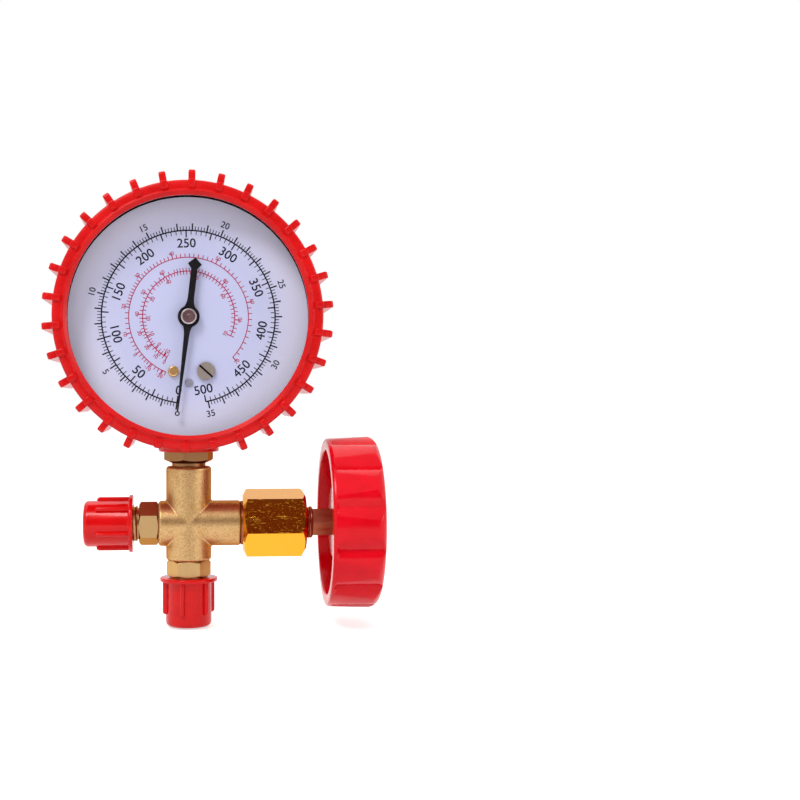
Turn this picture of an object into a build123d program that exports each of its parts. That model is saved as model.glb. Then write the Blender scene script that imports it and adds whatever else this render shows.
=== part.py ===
from build123d import *
import math
import os

# Refrigerant pressure gauge with its cross valve, in millimetres and degrees.
# Frame: +Z up, the dial faces -Y, the handwheel's axis lies along +X.
# The origin is the middle of the hose port's thread, on that port's axis.

# Flare ports, quarter inch, seven sixteenths thread
FLARE_R = 5.555
FLARE_THREAD = 11.0
FLARE_NECK_R = 4.7
FLARE_NECK = 1.2
FLARE_CONE = 2.1
FLARE_TIP_R = 2.9
PORT_BORE_R = 2.4
PORT_HEX = 12.0
PORT_SPIGOT_R = 4.6
PORT_SPIGOT = 5.8
SIDE_HEX_LENGTH = 6.0
SIDE_HEX_TURN = 25.0
HOSE_HEX_LENGTH = 5.0
HOSE_HEX_TURN = 0.0
HEX_BEVEL_SLOPE = math.tan(math.radians(30))

# Cross body
ARM_R = 7.1
UPPER_ARM = 18.0
LOWER_ARM = 11.6
LEFT_ARM = 9.5
RIGHT_ARM = 16.4
ARM_BEVEL = 0.6
SEAT_X = -1.5
SEAT_BORE_R = 1.9
CROSS_BORE_R = 2.1
CHAMBER_R = 3.9

# Dust caps
CAP_LENGTH = 15.3
CAP_R = 7.2
CAP_END = 1.4
CAP_ROUND = 1.2
CAP_FLANGE_R = 9.05
CAP_FLANGE = 1.2
CAP_RIB_R = 8.4
CAP_RIB_LENGTH = 10.8
CAP_RIB_WIDTH = 1.2
CAP_RIB_ROUND = 1.2
CAP_RIBS = 6
CAP_CLEARANCE = 0.25
SIDE_CAP_GAP = 1.9
SIDE_RIB_TURN = 40.0
HOSE_CAP_GAP = 0.4
HOSE_RIB_TURN = 45.0

# Bonnet
BONNET_HEX = 19.0
BONNET_LENGTH = 20.0
BONNET_TURN = 13.0
BONNET_BEVEL = 0.9
BONNET_SPIGOT_R = 5.6
BONNET_SPIGOT = 7.6
BONNET_THREAD_DEPTH = 12.4
WASHER_THICK = 0.5
WASHER_R = 6.9

# Stem
STEM_THREAD_R = 5.1
STEM_THREAD_INNER = 9.4
STEM_COLLAR = 2.2
STEM_SQUARE = 6.3
STEM_GLAND_R = 3.85
STEM_HEAD_R = 3.0
STEM_HEAD = 5.0
STEM_BEVEL = 0.5
OPENING = 2.3
DISC_THICK = 2.4
DISC_R = 3.0
DISC_SPIGOT_R = 1.2
DISC_SPIGOT = 2.0
RING_MINOR_R = 0.85
RING_PLACES = (10.5, 14.5)
RING_GROOVE = 1.95

# Handwheel
WHEEL_X = 43.3
WHEEL_LENGTH = 16.3
WHEEL_OPEN_R = 26.6
WHEEL_BACK_R = 27.3
WHEEL_INNER_R = 22.9
WHEEL_WEB = 3.4
WHEEL_ROUND = 3.6
WHEEL_LIP_ROUND = 0.8
HUB_R = 11.1
HUB_SET_IN = 2.2
LOBES = 12
LOBE_DEPTH = 1.3
LOBE_START = 0.9
LOBE_LENGTH = 12.1
LOBE_TURN = 14.5
WHEEL_RECESS_R = 6.2
WHEEL_RECESS = 2.9
WHEEL_WASHER_R = 5.2
WHEEL_WASHER = 0.8
WHEEL_SCREW_R = 2.0
WHEEL_SCREW_LENGTH = 11.0
WHEEL_SCREW_HEAD_R = 3.6
WHEEL_SCREW_HEAD = 2.0
CROSS_SPAN = 4.3
CROSS_WIDTH = 0.85
CROSS_DEPTH = 1.2

# The curved tube's radius, and how far it is from the one that the movement is drawn for
TUBE_R = 27.0
DRAWN_TUBE_R = 27.0
LAYOUT = TUBE_R / DRAWN_TUBE_R

# Gauge socket
SOCKET_THREAD_R = 5.0
SOCKET_THREAD = 9.0
SOCKET_RING_R = 5.25
SOCKET_RING = 1.0
SOCKET_CONE = 1.4
SOCKET_HEX = 14.0
SOCKET_HEX_TURN = 17.8
SOCKET_BAR_R = 8.4
SOCKET_BORE_R = 1.25
SOCKET_BLOCK_WIDTH = 13.0
SOCKET_BLOCK_DEPTH = 12.0
SOCKET_BLOCK_TOP = -22.0 * LAYOUT
SOCKET_NECK_R = 6.0
TONGUE_WIDTH = 12.0
TONGUE_TOP = -12.0 * LAYOUT
TONGUE_THICK = 4.0
RESTRICTOR_R = 1.8
RESTRICTOR_LENGTH = 3.0
RESTRICTOR_HOLE_R = 0.4

# Gauge case, with depths counted forward from the socket's axis
GAUGE_RISE = 64.5
CASE_R = 38.6
CASE_WALL = 0.8
CASE_BACK = -12.0
CASE_FRONT = 14.0
CASE_FLANGE = 1.6
GASKET_THICK = 1.0
GASKET_WIDTH = 1.7
LENS_THICK = 2.0
LENS_BEVEL = 0.5
BEZEL_WALL = 0.5
BEZEL_LIP = 2.4
BEZEL_THICK = 1.0
BEZEL_SKIRT = 5.0
CASE_SCREW_SPACING = 8.0
CASE_SCREW_DROP = 26.5
CASE_SCREW_R = 1.5
CASE_SCREW_LENGTH = 8.0
CASE_SCREW_HEAD_R = 2.6
CASE_SCREW_HEAD = 1.6

# Protective boot
BOOT_WALL = 1.5
BOOT_RIB_HEIGHT = 3.15
BOOT_RIBS = 30
BOOT_BARE_RIBS = (14, 15, 16)
BOOT_RIB_WIDTH = 2.1
BOOT_RIB_TURN = -1.3
BOOT_LIP = 2.0
BOOT_LIP_COVER = 2.3
BOOT_RIDGE_COVER = 0.9
BOOT_BACK = 1.8
BOOT_BACK_COVER = 7.6
BOOT_PAD_COVER = 0.1
BOOT_PAD_WIDTH = 2.5
BOOT_PAD_PROUD = 0.5
BOOT_COLLAR_R = 9.5
BOOT_COLLAR_PROUD = 1.0
BOOT_ROUND = 0.6
BOOT_CLEARANCE = 0.2

# Dial and pointer, with places counted right and up from the gauge's centre
DIAL_GAP = 0.9
DIAL_FRONT = 10.5
DIAL_THICK = 0.5
POINTER_FRONT = 12.8
POINTER_THICK = 0.4
POINTER_REST = 6.7
NEEDLE_LENGTH = 30.7
NEEDLE_ROOT = 1.8
NEEDLE_TIP = 0.45
LOOP_R = 0.75
LOOP_HOLE_R = 0.4
TAIL_LENGTH = 18.2
TAIL_ROOT = 2.7
TAIL_NECK = 1.6
ARROW_WIDTH = 4.3
ARROW_POINT = 2.0
ARROW_BACK = 1.5
POINTER_HUB_R = 3.35
POINTER_BOSS_R = 2.0
POINTER_BOSS = 1.2
POINTER_CAP_R = 2.43
POINTER_CAP = 0.8
DIAL_SCREW_AT = (-4.7 * LAYOUT, -16.8 * LAYOUT)
DIAL_SCREW_R = 1.7
DIAL_SCREW_HEAD = 1.1
SET_SCREW_AT = (0.15 * LAYOUT, -20.3 * LAYOUT)
SET_SCREW_R = 1.25
SET_SCREW_HEAD = 0.6
CALIBRATION_AT = (5.3 * LAYOUT, -16.7 * LAYOUT)
CALIBRATION_R = 2.75
CALIBRATION_HEAD = 1.1
CALIBRATION_SHANK_R = 1.4
SLOT_WIDTH = 0.6
SLOT_DEPTH = 0.5
CALIBRATION_SLOT_TURN = -42.0
SMALL_SHANK_R = 0.8

# Movement, with depths counted forward from the socket's axis
BACK_PLATE_FRONT = -0.3
FRONT_PLATE_FRONT = 8.6
PLATE_THICK = 1.2
PLATE_CORNER_R = 2.0
PILLAR_R = 1.3
PILLARS = ((-8.4, -20.0 * LAYOUT), (8.4, -21.3 * LAYOUT), (0.0, 7.5))
DIAL_BOSS_R = 1.9
ARBOR_R = 0.75
ARBOR_COLLAR_R = 1.1
GEAR_MODULE = 0.3 * LAYOUT
PINION_TEETH = 12
SECTOR_RATIO = 8
SECTOR_SPAN_TEETH = 14
TOOTH_SHARE = 0.38
TOOTH_TIP_SHARE = 0.2
TOOTH_ROOT_SHARE = 0.475
ADDENDUM = 0.8
DEDENDUM = 1.25
SECTOR_BACK = 2.3
SECTOR_THICK = 1.2
SECTOR_RIM = 2.0
SECTOR_HUB_R = 2.2
SECTOR_WINDOW_R = 4.4 * LAYOUT
PINION_LENGTH = 2.6
TAIL_ARM = 5.0 * LAYOUT
TAIL_ARM_TURN = -50.0
TAIL_ARM_WIDTH = 2.6
LINK_BACK = 1.4
LINK_THICK = 0.8
LINK_WIDTH = 2.6
LINK_PIN_R = 0.6
LINK_PIN_HEAD_R = 0.95
LINK_PIN_HEAD = 0.4
TIP_PIVOT_PLAY = 0.35
LINK_GAP = 0.2
TIP_PIN_REACH = 22.5 * LAYOUT
TUBE_WIDTH = 8.0
TUBE_HEIGHT = 2.6
TUBE_WALL = 0.4
TUBE_END = -20.0
TUBE_SOCKET_DEPTH = 1.2
TIP_LENGTH = 3.0
TIP_EAR_THICK = 1.0
TIP_EAR_WIDTH = 2.6
SPRING_BACK = 5.2
SPRING_WIDTH = 1.0
SPRING_STRIP = 0.2
SPRING_INNER_R = 1.55
SPRING_PITCH = 0.5
SPRING_HALF_TURNS = 9
COLLET_LENGTH = 1.6
STUD_WIDTH = 1.0
STUD_HEIGHT = 1.4
MOVEMENT_SCREW_AT = ((-4.0, -18.5 * LAYOUT), (4.0, -18.5 * LAYOUT))
MOVEMENT_SCREW_R = 1.0
MOVEMENT_SCREW_HEAD_R = 1.7
MOVEMENT_SCREW_HEAD = 1.1
MOVEMENT_SCREW_LENGTH = 4.0

# Clearances
RUNNING_FIT = 0.05
SEAT_FIT = 0.02
BORE_RUN_OUT = 1.0

# Levels and places worked out from the sizes above
VALVE_Z = LOWER_ARM + HOSE_HEX_LENGTH + FLARE_THREAD / 2
GAUGE_Z = VALVE_Z + GAUGE_RISE
BONNET_X = RIGHT_ARM + WASHER_THICK
BONNET_END_X = BONNET_X + BONNET_LENGTH
DISC_X = SEAT_X + OPENING
STEM_X = DISC_X + DISC_THICK
STEM_SQUARE_X = BONNET_END_X + STEM_COLLAR
STEM_THREAD_X = BONNET_END_X - STEM_THREAD_INNER
HUB_X = WHEEL_X + HUB_SET_IN
WHEEL_END_X = WHEEL_X + WHEEL_LENGTH
WHEEL_FLOOR_X = WHEEL_END_X - WHEEL_RECESS
VALLEY_R = WHEEL_OPEN_R - LOBE_DEPTH
LENS_BACK = CASE_FRONT + GASKET_THICK
LENS_FRONT = LENS_BACK + LENS_THICK
BEZEL_FRONT = LENS_FRONT + BEZEL_THICK
BEZEL_R = CASE_R + RUNNING_FIT + BEZEL_WALL
BOOT_INNER_R = BEZEL_R + BOOT_CLEARANCE
BOOT_R = BOOT_INNER_R + BOOT_WALL
BOOT_RIB_R = BOOT_R + BOOT_RIB_HEIGHT
BOOT_LIP_R = CASE_R - BOOT_LIP_COVER
BOOT_RIDGE_R = CASE_R - BOOT_RIDGE_COVER
BOOT_BACK_R = CASE_R - BOOT_BACK_COVER
BOOT_PAD_R = CASE_R - BOOT_PAD_COVER
BOOT_FRONT = BEZEL_FRONT + BOOT_LIP
BOOT_REAR = CASE_BACK - BOOT_BACK
DIAL_R = CASE_R - CASE_WALL - DIAL_GAP
DIAL_BACK = DIAL_FRONT - DIAL_THICK
POINTER_BACK = POINTER_FRONT - POINTER_THICK
BACK_PLATE_BACK = BACK_PLATE_FRONT - PLATE_THICK
FRONT_PLATE_BACK = FRONT_PLATE_FRONT - PLATE_THICK
PINION_R = GEAR_MODULE * PINION_TEETH / 2
SECTOR_R = PINION_R * SECTOR_RATIO
GEAR_DISTANCE = PINION_R + SECTOR_R
SECTOR_TOOTH_PITCH = 360 / (PINION_TEETH * SECTOR_RATIO)
PINION_TOOTH_PITCH = 360 / PINION_TEETH
SECTOR_FRONT = SECTOR_BACK + SECTOR_THICK

X_AXIS = Axis((0, 0, VALVE_Z), (1, 0, 0))
GAUGE_AXIS = Axis((0, 0, GAUGE_Z), (0, -1, 0))
VALVE_PROFILE = Plane(origin=(0, 0, VALVE_Z), x_dir=(1, 0, 0), z_dir=(0, -1, 0))
GAUGE_PROFILE = Plane(origin=(0, 0, GAUGE_Z), x_dir=(1, 0, 0), z_dir=(0, 0, -1))
SIDE_PORT = Plane(origin=(-LEFT_ARM, 0, VALVE_Z), x_dir=(0, -1, 0), z_dir=(-1, 0, 0))
HOSE_PORT = Plane(origin=(0, 0, VALVE_Z - LOWER_ARM), x_dir=(1, 0, 0), z_dir=(0, 0, -1))

os.makedirs("parts", exist_ok=True)


def save(builder, name):
    """Labels a finished piece and writes it to its own STEP file."""
    builder.part.label = name
    export_step(builder.part, f"parts/{name}.step")


def level(forward):
    """A plane across the gauge, so far in front of the socket's axis, facing the front."""
    return Plane(origin=(0, -forward, GAUGE_Z), x_dir=(1, 0, 0), z_dir=(0, -1, 0))


def across(x):
    """A plane across the valve's axis at x, facing the handwheel."""
    return Plane(origin=(x, 0, VALVE_Z), x_dir=(0, -1, 0), z_dir=(1, 0, 0))


def turned(plane, angle):
    """The same plane, turned in itself about its own normal."""
    x_dir = plane.x_dir.rotate(Axis((0, 0, 0), plane.z_dir), angle)
    return Plane(origin=plane.origin, x_dir=x_dir, z_dir=plane.z_dir)


def polar(radius, angle):
    """A place in a sketch at a radius and an angle."""
    return (radius * math.cos(math.radians(angle)), radius * math.sin(math.radians(angle)))


def beside(base, angle=0.0):
    """A plane holding a port's axis: local x leads away from it, local y runs along it."""
    flat = turned(base, angle)
    return Plane(origin=base.origin, x_dir=flat.x_dir, z_dir=-flat.y_dir)


def axis_of(base):
    """The axis through a port's plane."""
    return Axis(base.origin, base.z_dir)


def disc(plane, radius, length, at=(0, 0), mode=Mode.ADD):
    """A round of metal, or a hole through it, from a plane."""
    with BuildSketch(plane) as outline:
        with Locations(at):
            Circle(radius)
    extrude(outline.sketch, amount=length, mode=mode)


def turned_profile(plane, points, axis, mode=Mode.ADD):
    """Turns a closed outline about an axis."""
    with BuildSketch(plane) as outline:
        Polygon(*points, align=None)
    revolve(outline.sketch, axis=axis, mode=mode)


def corner(outline, x, y):
    """The corner of a sketch that lies nearest to a place in the sketch's own frame."""
    return outline.vertices().sort_by_distance(Vector(x, y))[0]


# Valve body: two round arms that cross, with their ports, chamber and seat

with BuildPart() as valve_body:
    with BuildSketch(Plane.XY.offset(VALVE_Z - LOWER_ARM)):
        Circle(ARM_R)
    extrude(amount=LOWER_ARM + UPPER_ARM)
    with BuildSketch(across(-LEFT_ARM)):
        Circle(ARM_R)
    extrude(amount=LEFT_ARM + RIGHT_ARM)
    arm_ends = valve_body.edges().filter_by(GeomType.CIRCLE)
    chamfer(arm_ends, ARM_BEVEL)
    disc(across(RIGHT_ARM), BONNET_SPIGOT_R + SEAT_FIT, -BONNET_SPIGOT, mode=Mode.SUBTRACT)
    disc(across(RIGHT_ARM), CHAMBER_R, SEAT_X - RIGHT_ARM, mode=Mode.SUBTRACT)
    disc(SIDE_PORT, SEAT_BORE_R, -LEFT_ARM, mode=Mode.SUBTRACT)
    disc(SIDE_PORT, PORT_SPIGOT_R + SEAT_FIT, -PORT_SPIGOT, mode=Mode.SUBTRACT)
    disc(HOSE_PORT, CROSS_BORE_R, -(LOWER_ARM + UPPER_ARM), mode=Mode.SUBTRACT)
    disc(HOSE_PORT, PORT_SPIGOT_R + SEAT_FIT, -PORT_SPIGOT, mode=Mode.SUBTRACT)
    disc(Plane.XY.offset(VALVE_Z + UPPER_ARM), SOCKET_THREAD_R + SEAT_FIT,
         -(SOCKET_THREAD + BORE_RUN_OUT), mode=Mode.SUBTRACT)
save(valve_body, "valve_body")


# Port fittings and their caps, built along a port's own plane

def flare_fitting(base, hex_length, hex_turn):
    """Spigot, hexagon, flare thread and cone, with the passage through them."""
    profile = beside(base)
    corner_r = PORT_HEX / math.sqrt(3) + BORE_RUN_OUT
    thread_end = hex_length + FLARE_THREAD
    nose = thread_end + FLARE_NECK + FLARE_CONE
    with BuildSketch(base) as flats:
        RegularPolygon(PORT_HEX / 2, 6, major_radius=False, rotation=hex_turn)
    extrude(flats.sketch, amount=hex_length)
    rise = (corner_r - PORT_HEX / 2) * HEX_BEVEL_SLOPE
    for start, toward in ((0, rise), (hex_length, -rise)):
        bevel = [(PORT_HEX / 2, start), (corner_r, start), (corner_r, start + toward)]
        turned_profile(profile, bevel, axis_of(base), Mode.SUBTRACT)
    outline = [
        (0, -PORT_SPIGOT), (PORT_SPIGOT_R, -PORT_SPIGOT), (PORT_SPIGOT_R, 0),
        (FLARE_R, 0), (FLARE_R, thread_end),
        (FLARE_NECK_R, thread_end), (FLARE_NECK_R, thread_end + FLARE_NECK),
        (FLARE_TIP_R, nose), (0, nose),
    ]
    turned_profile(profile, outline, axis_of(base))
    disc(base.offset(-PORT_SPIGOT), PORT_BORE_R, PORT_SPIGOT + nose, mode=Mode.SUBTRACT)


def dust_cap(base, start, rib_turn):
    """A plastic cup with a flange at its mouth and ribs along its side."""
    profile = beside(base)
    end = start + CAP_LENGTH
    bore_r = FLARE_R + CAP_CLEARANCE
    with BuildSketch(profile) as shell:
        Polygon((0, start), (CAP_FLANGE_R, start), (CAP_FLANGE_R, start + CAP_FLANGE),
                (CAP_R, start + CAP_FLANGE), (CAP_R, end), (0, end), align=None)
        fillet(corner(shell, CAP_R, end), CAP_ROUND)
    revolve(shell.sketch, axis=axis_of(base))
    for index in range(CAP_RIBS):
        rib_plane = beside(base, rib_turn + index * 360 / CAP_RIBS)
        rib_end = start + CAP_RIB_LENGTH
        with BuildSketch(rib_plane) as rib:
            Polygon((bore_r + CAP_END / 2, start), (CAP_RIB_R, start), (CAP_RIB_R, rib_end),
                    (bore_r + CAP_END / 2, rib_end), align=None)
            fillet(corner(rib, CAP_RIB_R, rib_end), CAP_RIB_ROUND)
        extrude(rib.sketch, amount=CAP_RIB_WIDTH / 2, both=True)
    disc(base.offset(start), bore_r, CAP_LENGTH - CAP_END, mode=Mode.SUBTRACT)


with BuildPart() as side_port_fitting:
    flare_fitting(SIDE_PORT, SIDE_HEX_LENGTH, SIDE_HEX_TURN)
save(side_port_fitting, "side_port_fitting")

with BuildPart() as hose_port_fitting:
    flare_fitting(HOSE_PORT, HOSE_HEX_LENGTH, HOSE_HEX_TURN)
save(hose_port_fitting, "hose_port_fitting")

with BuildPart() as side_port_cap:
    dust_cap(SIDE_PORT, SIDE_HEX_LENGTH + SIDE_CAP_GAP, SIDE_RIB_TURN)
save(side_port_cap, "side_port_cap")

with BuildPart() as hose_port_cap:
    dust_cap(HOSE_PORT, HOSE_HEX_LENGTH + HOSE_CAP_GAP, HOSE_RIB_TURN)
save(hose_port_cap, "hose_port_cap")


# Bonnet: hexagon with a spigot in the right arm, a gland bore and the stem's thread

with BuildPart() as bonnet:
    with BuildSketch(across(BONNET_X)):
        RegularPolygon(BONNET_HEX / 2, 6, major_radius=False, rotation=BONNET_TURN)
    extrude(amount=BONNET_LENGTH)
    bonnet_corner = BONNET_HEX / math.sqrt(3) + BORE_RUN_OUT
    bonnet_rise = (bonnet_corner - BONNET_HEX / 2 + BONNET_BEVEL) * HEX_BEVEL_SLOPE
    for start, toward in ((BONNET_X, bonnet_rise), (BONNET_END_X, -bonnet_rise)):
        bevel = [
            (start, BONNET_HEX / 2 - BONNET_BEVEL), (start, bonnet_corner),
            (start + toward, bonnet_corner),
        ]
        turned_profile(VALVE_PROFILE, bevel, X_AXIS, Mode.SUBTRACT)
    disc(across(BONNET_X - WASHER_THICK - BONNET_SPIGOT + BORE_RUN_OUT / 2), BONNET_SPIGOT_R,
         BONNET_SPIGOT + WASHER_THICK)
    disc(across(0), STEM_GLAND_R + RUNNING_FIT, BONNET_END_X, mode=Mode.SUBTRACT)
    disc(across(BONNET_END_X), STEM_THREAD_R + RUNNING_FIT, -BONNET_THREAD_DEPTH,
         mode=Mode.SUBTRACT)
save(bonnet, "bonnet")

with BuildPart() as bonnet_washer:
    with BuildSketch(across(RIGHT_ARM)):
        Circle(WASHER_R)
        Circle(BONNET_SPIGOT_R + SEAT_FIT, mode=Mode.SUBTRACT)
    extrude(amount=WASHER_THICK)
save(bonnet_washer, "bonnet_washer")


# Stem with its rings and seat disc

with BuildPart() as valve_stem:
    stem_end = WHEEL_FLOOR_X - RUNNING_FIT
    turned_profile(VALVE_PROFILE, [
        (STEM_X, 0), (STEM_X, STEM_HEAD_R), (STEM_X + STEM_HEAD, STEM_HEAD_R),
        (STEM_X + STEM_HEAD, STEM_GLAND_R), (STEM_THREAD_X, STEM_GLAND_R),
        (STEM_THREAD_X + STEM_BEVEL, STEM_THREAD_R),
        (STEM_SQUARE_X - STEM_BEVEL, STEM_THREAD_R),
        (STEM_SQUARE_X, STEM_THREAD_R - STEM_BEVEL), (STEM_SQUARE_X, 0),
    ], X_AXIS)
    with BuildSketch(across(STEM_SQUARE_X)):
        Rectangle(STEM_SQUARE, STEM_SQUARE, rotation=45)
    extrude(amount=stem_end - STEM_SQUARE_X)
    for place in RING_PLACES:
        groove_x = STEM_X + place
        turned_profile(VALVE_PROFILE, [
            (groove_x - RING_GROOVE / 2, STEM_GLAND_R - 2 * RING_MINOR_R),
            (groove_x + RING_GROOVE / 2, STEM_GLAND_R - 2 * RING_MINOR_R),
            (groove_x + RING_GROOVE / 2, STEM_GLAND_R + BORE_RUN_OUT),
            (groove_x - RING_GROOVE / 2, STEM_GLAND_R + BORE_RUN_OUT),
        ], X_AXIS, Mode.SUBTRACT)
    disc(across(STEM_X), DISC_SPIGOT_R + RUNNING_FIT, DISC_SPIGOT + RUNNING_FIT,
         mode=Mode.SUBTRACT)
    disc(across(stem_end), WHEEL_SCREW_R + SEAT_FIT, -WHEEL_SCREW_LENGTH, mode=Mode.SUBTRACT)
save(valve_stem, "valve_stem")

with BuildPart() as stem_o_rings:
    for place in RING_PLACES:
        ring_r = STEM_GLAND_R - RING_MINOR_R
        with BuildSketch(VALVE_PROFILE):
            with Locations((STEM_X + place, ring_r)):
                Circle(RING_MINOR_R)
        revolve(axis=X_AXIS)
save(stem_o_rings, "stem_o_rings")

with BuildPart() as seat_disc:
    turned_profile(VALVE_PROFILE, [
        (DISC_X, 0), (DISC_X, DISC_R - STEM_BEVEL), (DISC_X + STEM_BEVEL, DISC_R),
        (STEM_X - RUNNING_FIT, DISC_R), (STEM_X - RUNNING_FIT, DISC_SPIGOT_R),
        (STEM_X + DISC_SPIGOT - RUNNING_FIT, DISC_SPIGOT_R),
        (STEM_X + DISC_SPIGOT - RUNNING_FIT, 0),
    ], X_AXIS)
save(seat_disc, "seat_disc")


# Handwheel: a cup with lobes, open to the valve, with its hub inside

with BuildPart() as handwheel:
    with BuildSketch(VALVE_PROFILE) as cup:
        Polygon((WHEEL_X, 0), (WHEEL_X, WHEEL_OPEN_R), (WHEEL_END_X, WHEEL_BACK_R),
                (WHEEL_END_X, 0), align=None)
        fillet(corner(cup, WHEEL_END_X, WHEEL_BACK_R), WHEEL_ROUND)
        fillet(corner(cup, WHEEL_X, WHEEL_OPEN_R), WHEEL_LIP_ROUND)
    revolve(axis=X_AXIS)
    with BuildSketch(across(WHEEL_X + LOBE_START)):
        Circle(WHEEL_BACK_R + BORE_RUN_OUT)
        with BuildLine():
            for index in range(LOBES):
                valley, crest, after = [
                    polar(reach, LOBE_TURN + (index + share) * 360 / LOBES)
                    for reach, share in ((VALLEY_R, 0), (WHEEL_BACK_R, 0.5), (VALLEY_R, 1))]
                ThreePointArc(valley, crest, after)
        make_face(mode=Mode.SUBTRACT)
    extrude(amount=LOBE_LENGTH, mode=Mode.SUBTRACT)
    with BuildSketch(across(WHEEL_X)):
        Circle(WHEEL_INNER_R)
        Circle(HUB_R, mode=Mode.SUBTRACT)
    extrude(amount=WHEEL_LENGTH - WHEEL_WEB, mode=Mode.SUBTRACT)
    disc(across(WHEEL_X), HUB_R, HUB_SET_IN, mode=Mode.SUBTRACT)
    disc(across(WHEEL_END_X), WHEEL_RECESS_R, -WHEEL_RECESS, mode=Mode.SUBTRACT)
    with BuildSketch(across(HUB_X)):
        Rectangle(STEM_SQUARE + 2 * SEAT_FIT, STEM_SQUARE + 2 * SEAT_FIT, rotation=45)
    extrude(amount=WHEEL_LENGTH, mode=Mode.SUBTRACT)
save(handwheel, "handwheel")

with BuildPart() as wheel_washer:
    with BuildSketch(across(WHEEL_FLOOR_X)):
        Circle(WHEEL_WASHER_R)
        Circle(WHEEL_SCREW_R + SEAT_FIT, mode=Mode.SUBTRACT)
    extrude(amount=WHEEL_WASHER)
save(wheel_washer, "wheel_washer")

with BuildPart() as wheel_screw:
    head_x = WHEEL_FLOOR_X + WHEEL_WASHER
    shank = WHEEL_SCREW_LENGTH + WHEEL_WASHER - BORE_RUN_OUT
    disc(across(head_x), WHEEL_SCREW_R, -shank)
    disc(across(head_x), WHEEL_SCREW_HEAD_R, WHEEL_SCREW_HEAD)
    rim = wheel_screw.edges().filter_by(GeomType.CIRCLE).sort_by(Axis.X)[-1]
    fillet(rim, WHEEL_SCREW_HEAD / 2)
    for turn in (0, 90):
        with BuildSketch(across(head_x + WHEEL_SCREW_HEAD)):
            Rectangle(CROSS_SPAN, CROSS_WIDTH, rotation=turn)
        extrude(amount=-CROSS_DEPTH, mode=Mode.SUBTRACT)
save(wheel_screw, "wheel_screw")


# Gauge socket: thread in the upper arm, hexagon, and a block in the case

block_bottom = -CASE_R + CASE_WALL + BORE_RUN_OUT
case_floor = GAUGE_Z - CASE_R
ring_z = VALVE_Z + UPPER_ARM
hex_z = ring_z + SOCKET_RING + SOCKET_CONE
block_back = CASE_BACK + CASE_WALL
tongue_front = BACK_PLATE_BACK
tube_in_block = SOCKET_BLOCK_WIDTH / 2 - TUBE_SOCKET_DEPTH + SEAT_FIT
tube_start = math.degrees(math.acos(tube_in_block / (TUBE_R - TUBE_HEIGHT / 2)))

with BuildPart() as gauge_socket:
    with BuildSketch(Plane.XZ):
        Polygon((0, ring_z - SOCKET_THREAD), (SOCKET_THREAD_R, ring_z - SOCKET_THREAD),
                (SOCKET_THREAD_R, ring_z), (SOCKET_RING_R, ring_z),
                (SOCKET_RING_R, ring_z + SOCKET_RING),
                (SOCKET_BAR_R, hex_z), (0, hex_z), align=None)
    revolve(axis=Axis.Z)
    with BuildSketch(Plane.XY.offset(hex_z)):
        Circle(SOCKET_BAR_R)
    extrude(amount=case_floor - hex_z)
    with BuildSketch(Plane.XY.offset(ring_z + SOCKET_RING)):
        Circle(SOCKET_HEX)
        RegularPolygon(SOCKET_HEX / 2, 6, major_radius=False, rotation=SOCKET_HEX_TURN,
                       mode=Mode.SUBTRACT)
    extrude(amount=case_floor - ring_z, mode=Mode.SUBTRACT)
    disc(Plane.XY.offset(case_floor - BORE_RUN_OUT), SOCKET_NECK_R,
         GAUGE_Z + block_bottom - case_floor + BORE_RUN_OUT)
    with BuildSketch(Plane.XY.offset(GAUGE_Z + block_bottom)):
        Rectangle(SOCKET_BLOCK_WIDTH, SOCKET_BLOCK_DEPTH)
    extrude(amount=SOCKET_BLOCK_TOP - block_bottom)
    with BuildSketch(level(block_back)):
        with Locations((0, -CASE_SCREW_DROP)):
            Rectangle(SOCKET_BLOCK_WIDTH, CASE_SCREW_SPACING)
    extrude(amount=-block_back)
    with BuildSketch(level(tongue_front)):
        with Locations((0, (SOCKET_BLOCK_TOP + TONGUE_TOP) / 2 - BORE_RUN_OUT / 2)):
            Rectangle(TONGUE_WIDTH, TONGUE_TOP - SOCKET_BLOCK_TOP + BORE_RUN_OUT)
    extrude(amount=-TONGUE_THICK)
    disc(Plane.XY.offset(ring_z - SOCKET_THREAD), RESTRICTOR_R + SEAT_FIT, RESTRICTOR_LENGTH,
         mode=Mode.SUBTRACT)
    disc(Plane.XY.offset(ring_z - SOCKET_THREAD), SOCKET_BORE_R,
         GAUGE_Z - TUBE_R - ring_z + SOCKET_THREAD, mode=Mode.SUBTRACT)
    for at in MOVEMENT_SCREW_AT:
        disc(level(tongue_front), MOVEMENT_SCREW_R + SEAT_FIT, -MOVEMENT_SCREW_LENGTH, at=at,
             mode=Mode.SUBTRACT)
    for side in (-1, 1):
        disc(level(block_back), CASE_SCREW_R + SEAT_FIT, CASE_SCREW_LENGTH,
             at=(side * CASE_SCREW_SPACING / 2, -CASE_SCREW_DROP), mode=Mode.SUBTRACT)
    with BuildSketch(level(-TUBE_WIDTH / 2 - SEAT_FIT)):
        with Locations((-SOCKET_BLOCK_WIDTH / 2 + TUBE_SOCKET_DEPTH, -TUBE_R)):
            Rectangle(TUBE_SOCKET_DEPTH + BORE_RUN_OUT, 4 * TUBE_HEIGHT,
                      align=(Align.MAX, Align.CENTER))
        Circle(TUBE_R + TUBE_HEIGHT / 2 + SEAT_FIT, mode=Mode.INTERSECT)
        Circle(TUBE_R - TUBE_HEIGHT / 2 - SEAT_FIT, mode=Mode.SUBTRACT)
    extrude(amount=TUBE_WIDTH + 2 * SEAT_FIT, mode=Mode.SUBTRACT)
save(gauge_socket, "gauge_socket")

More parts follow.
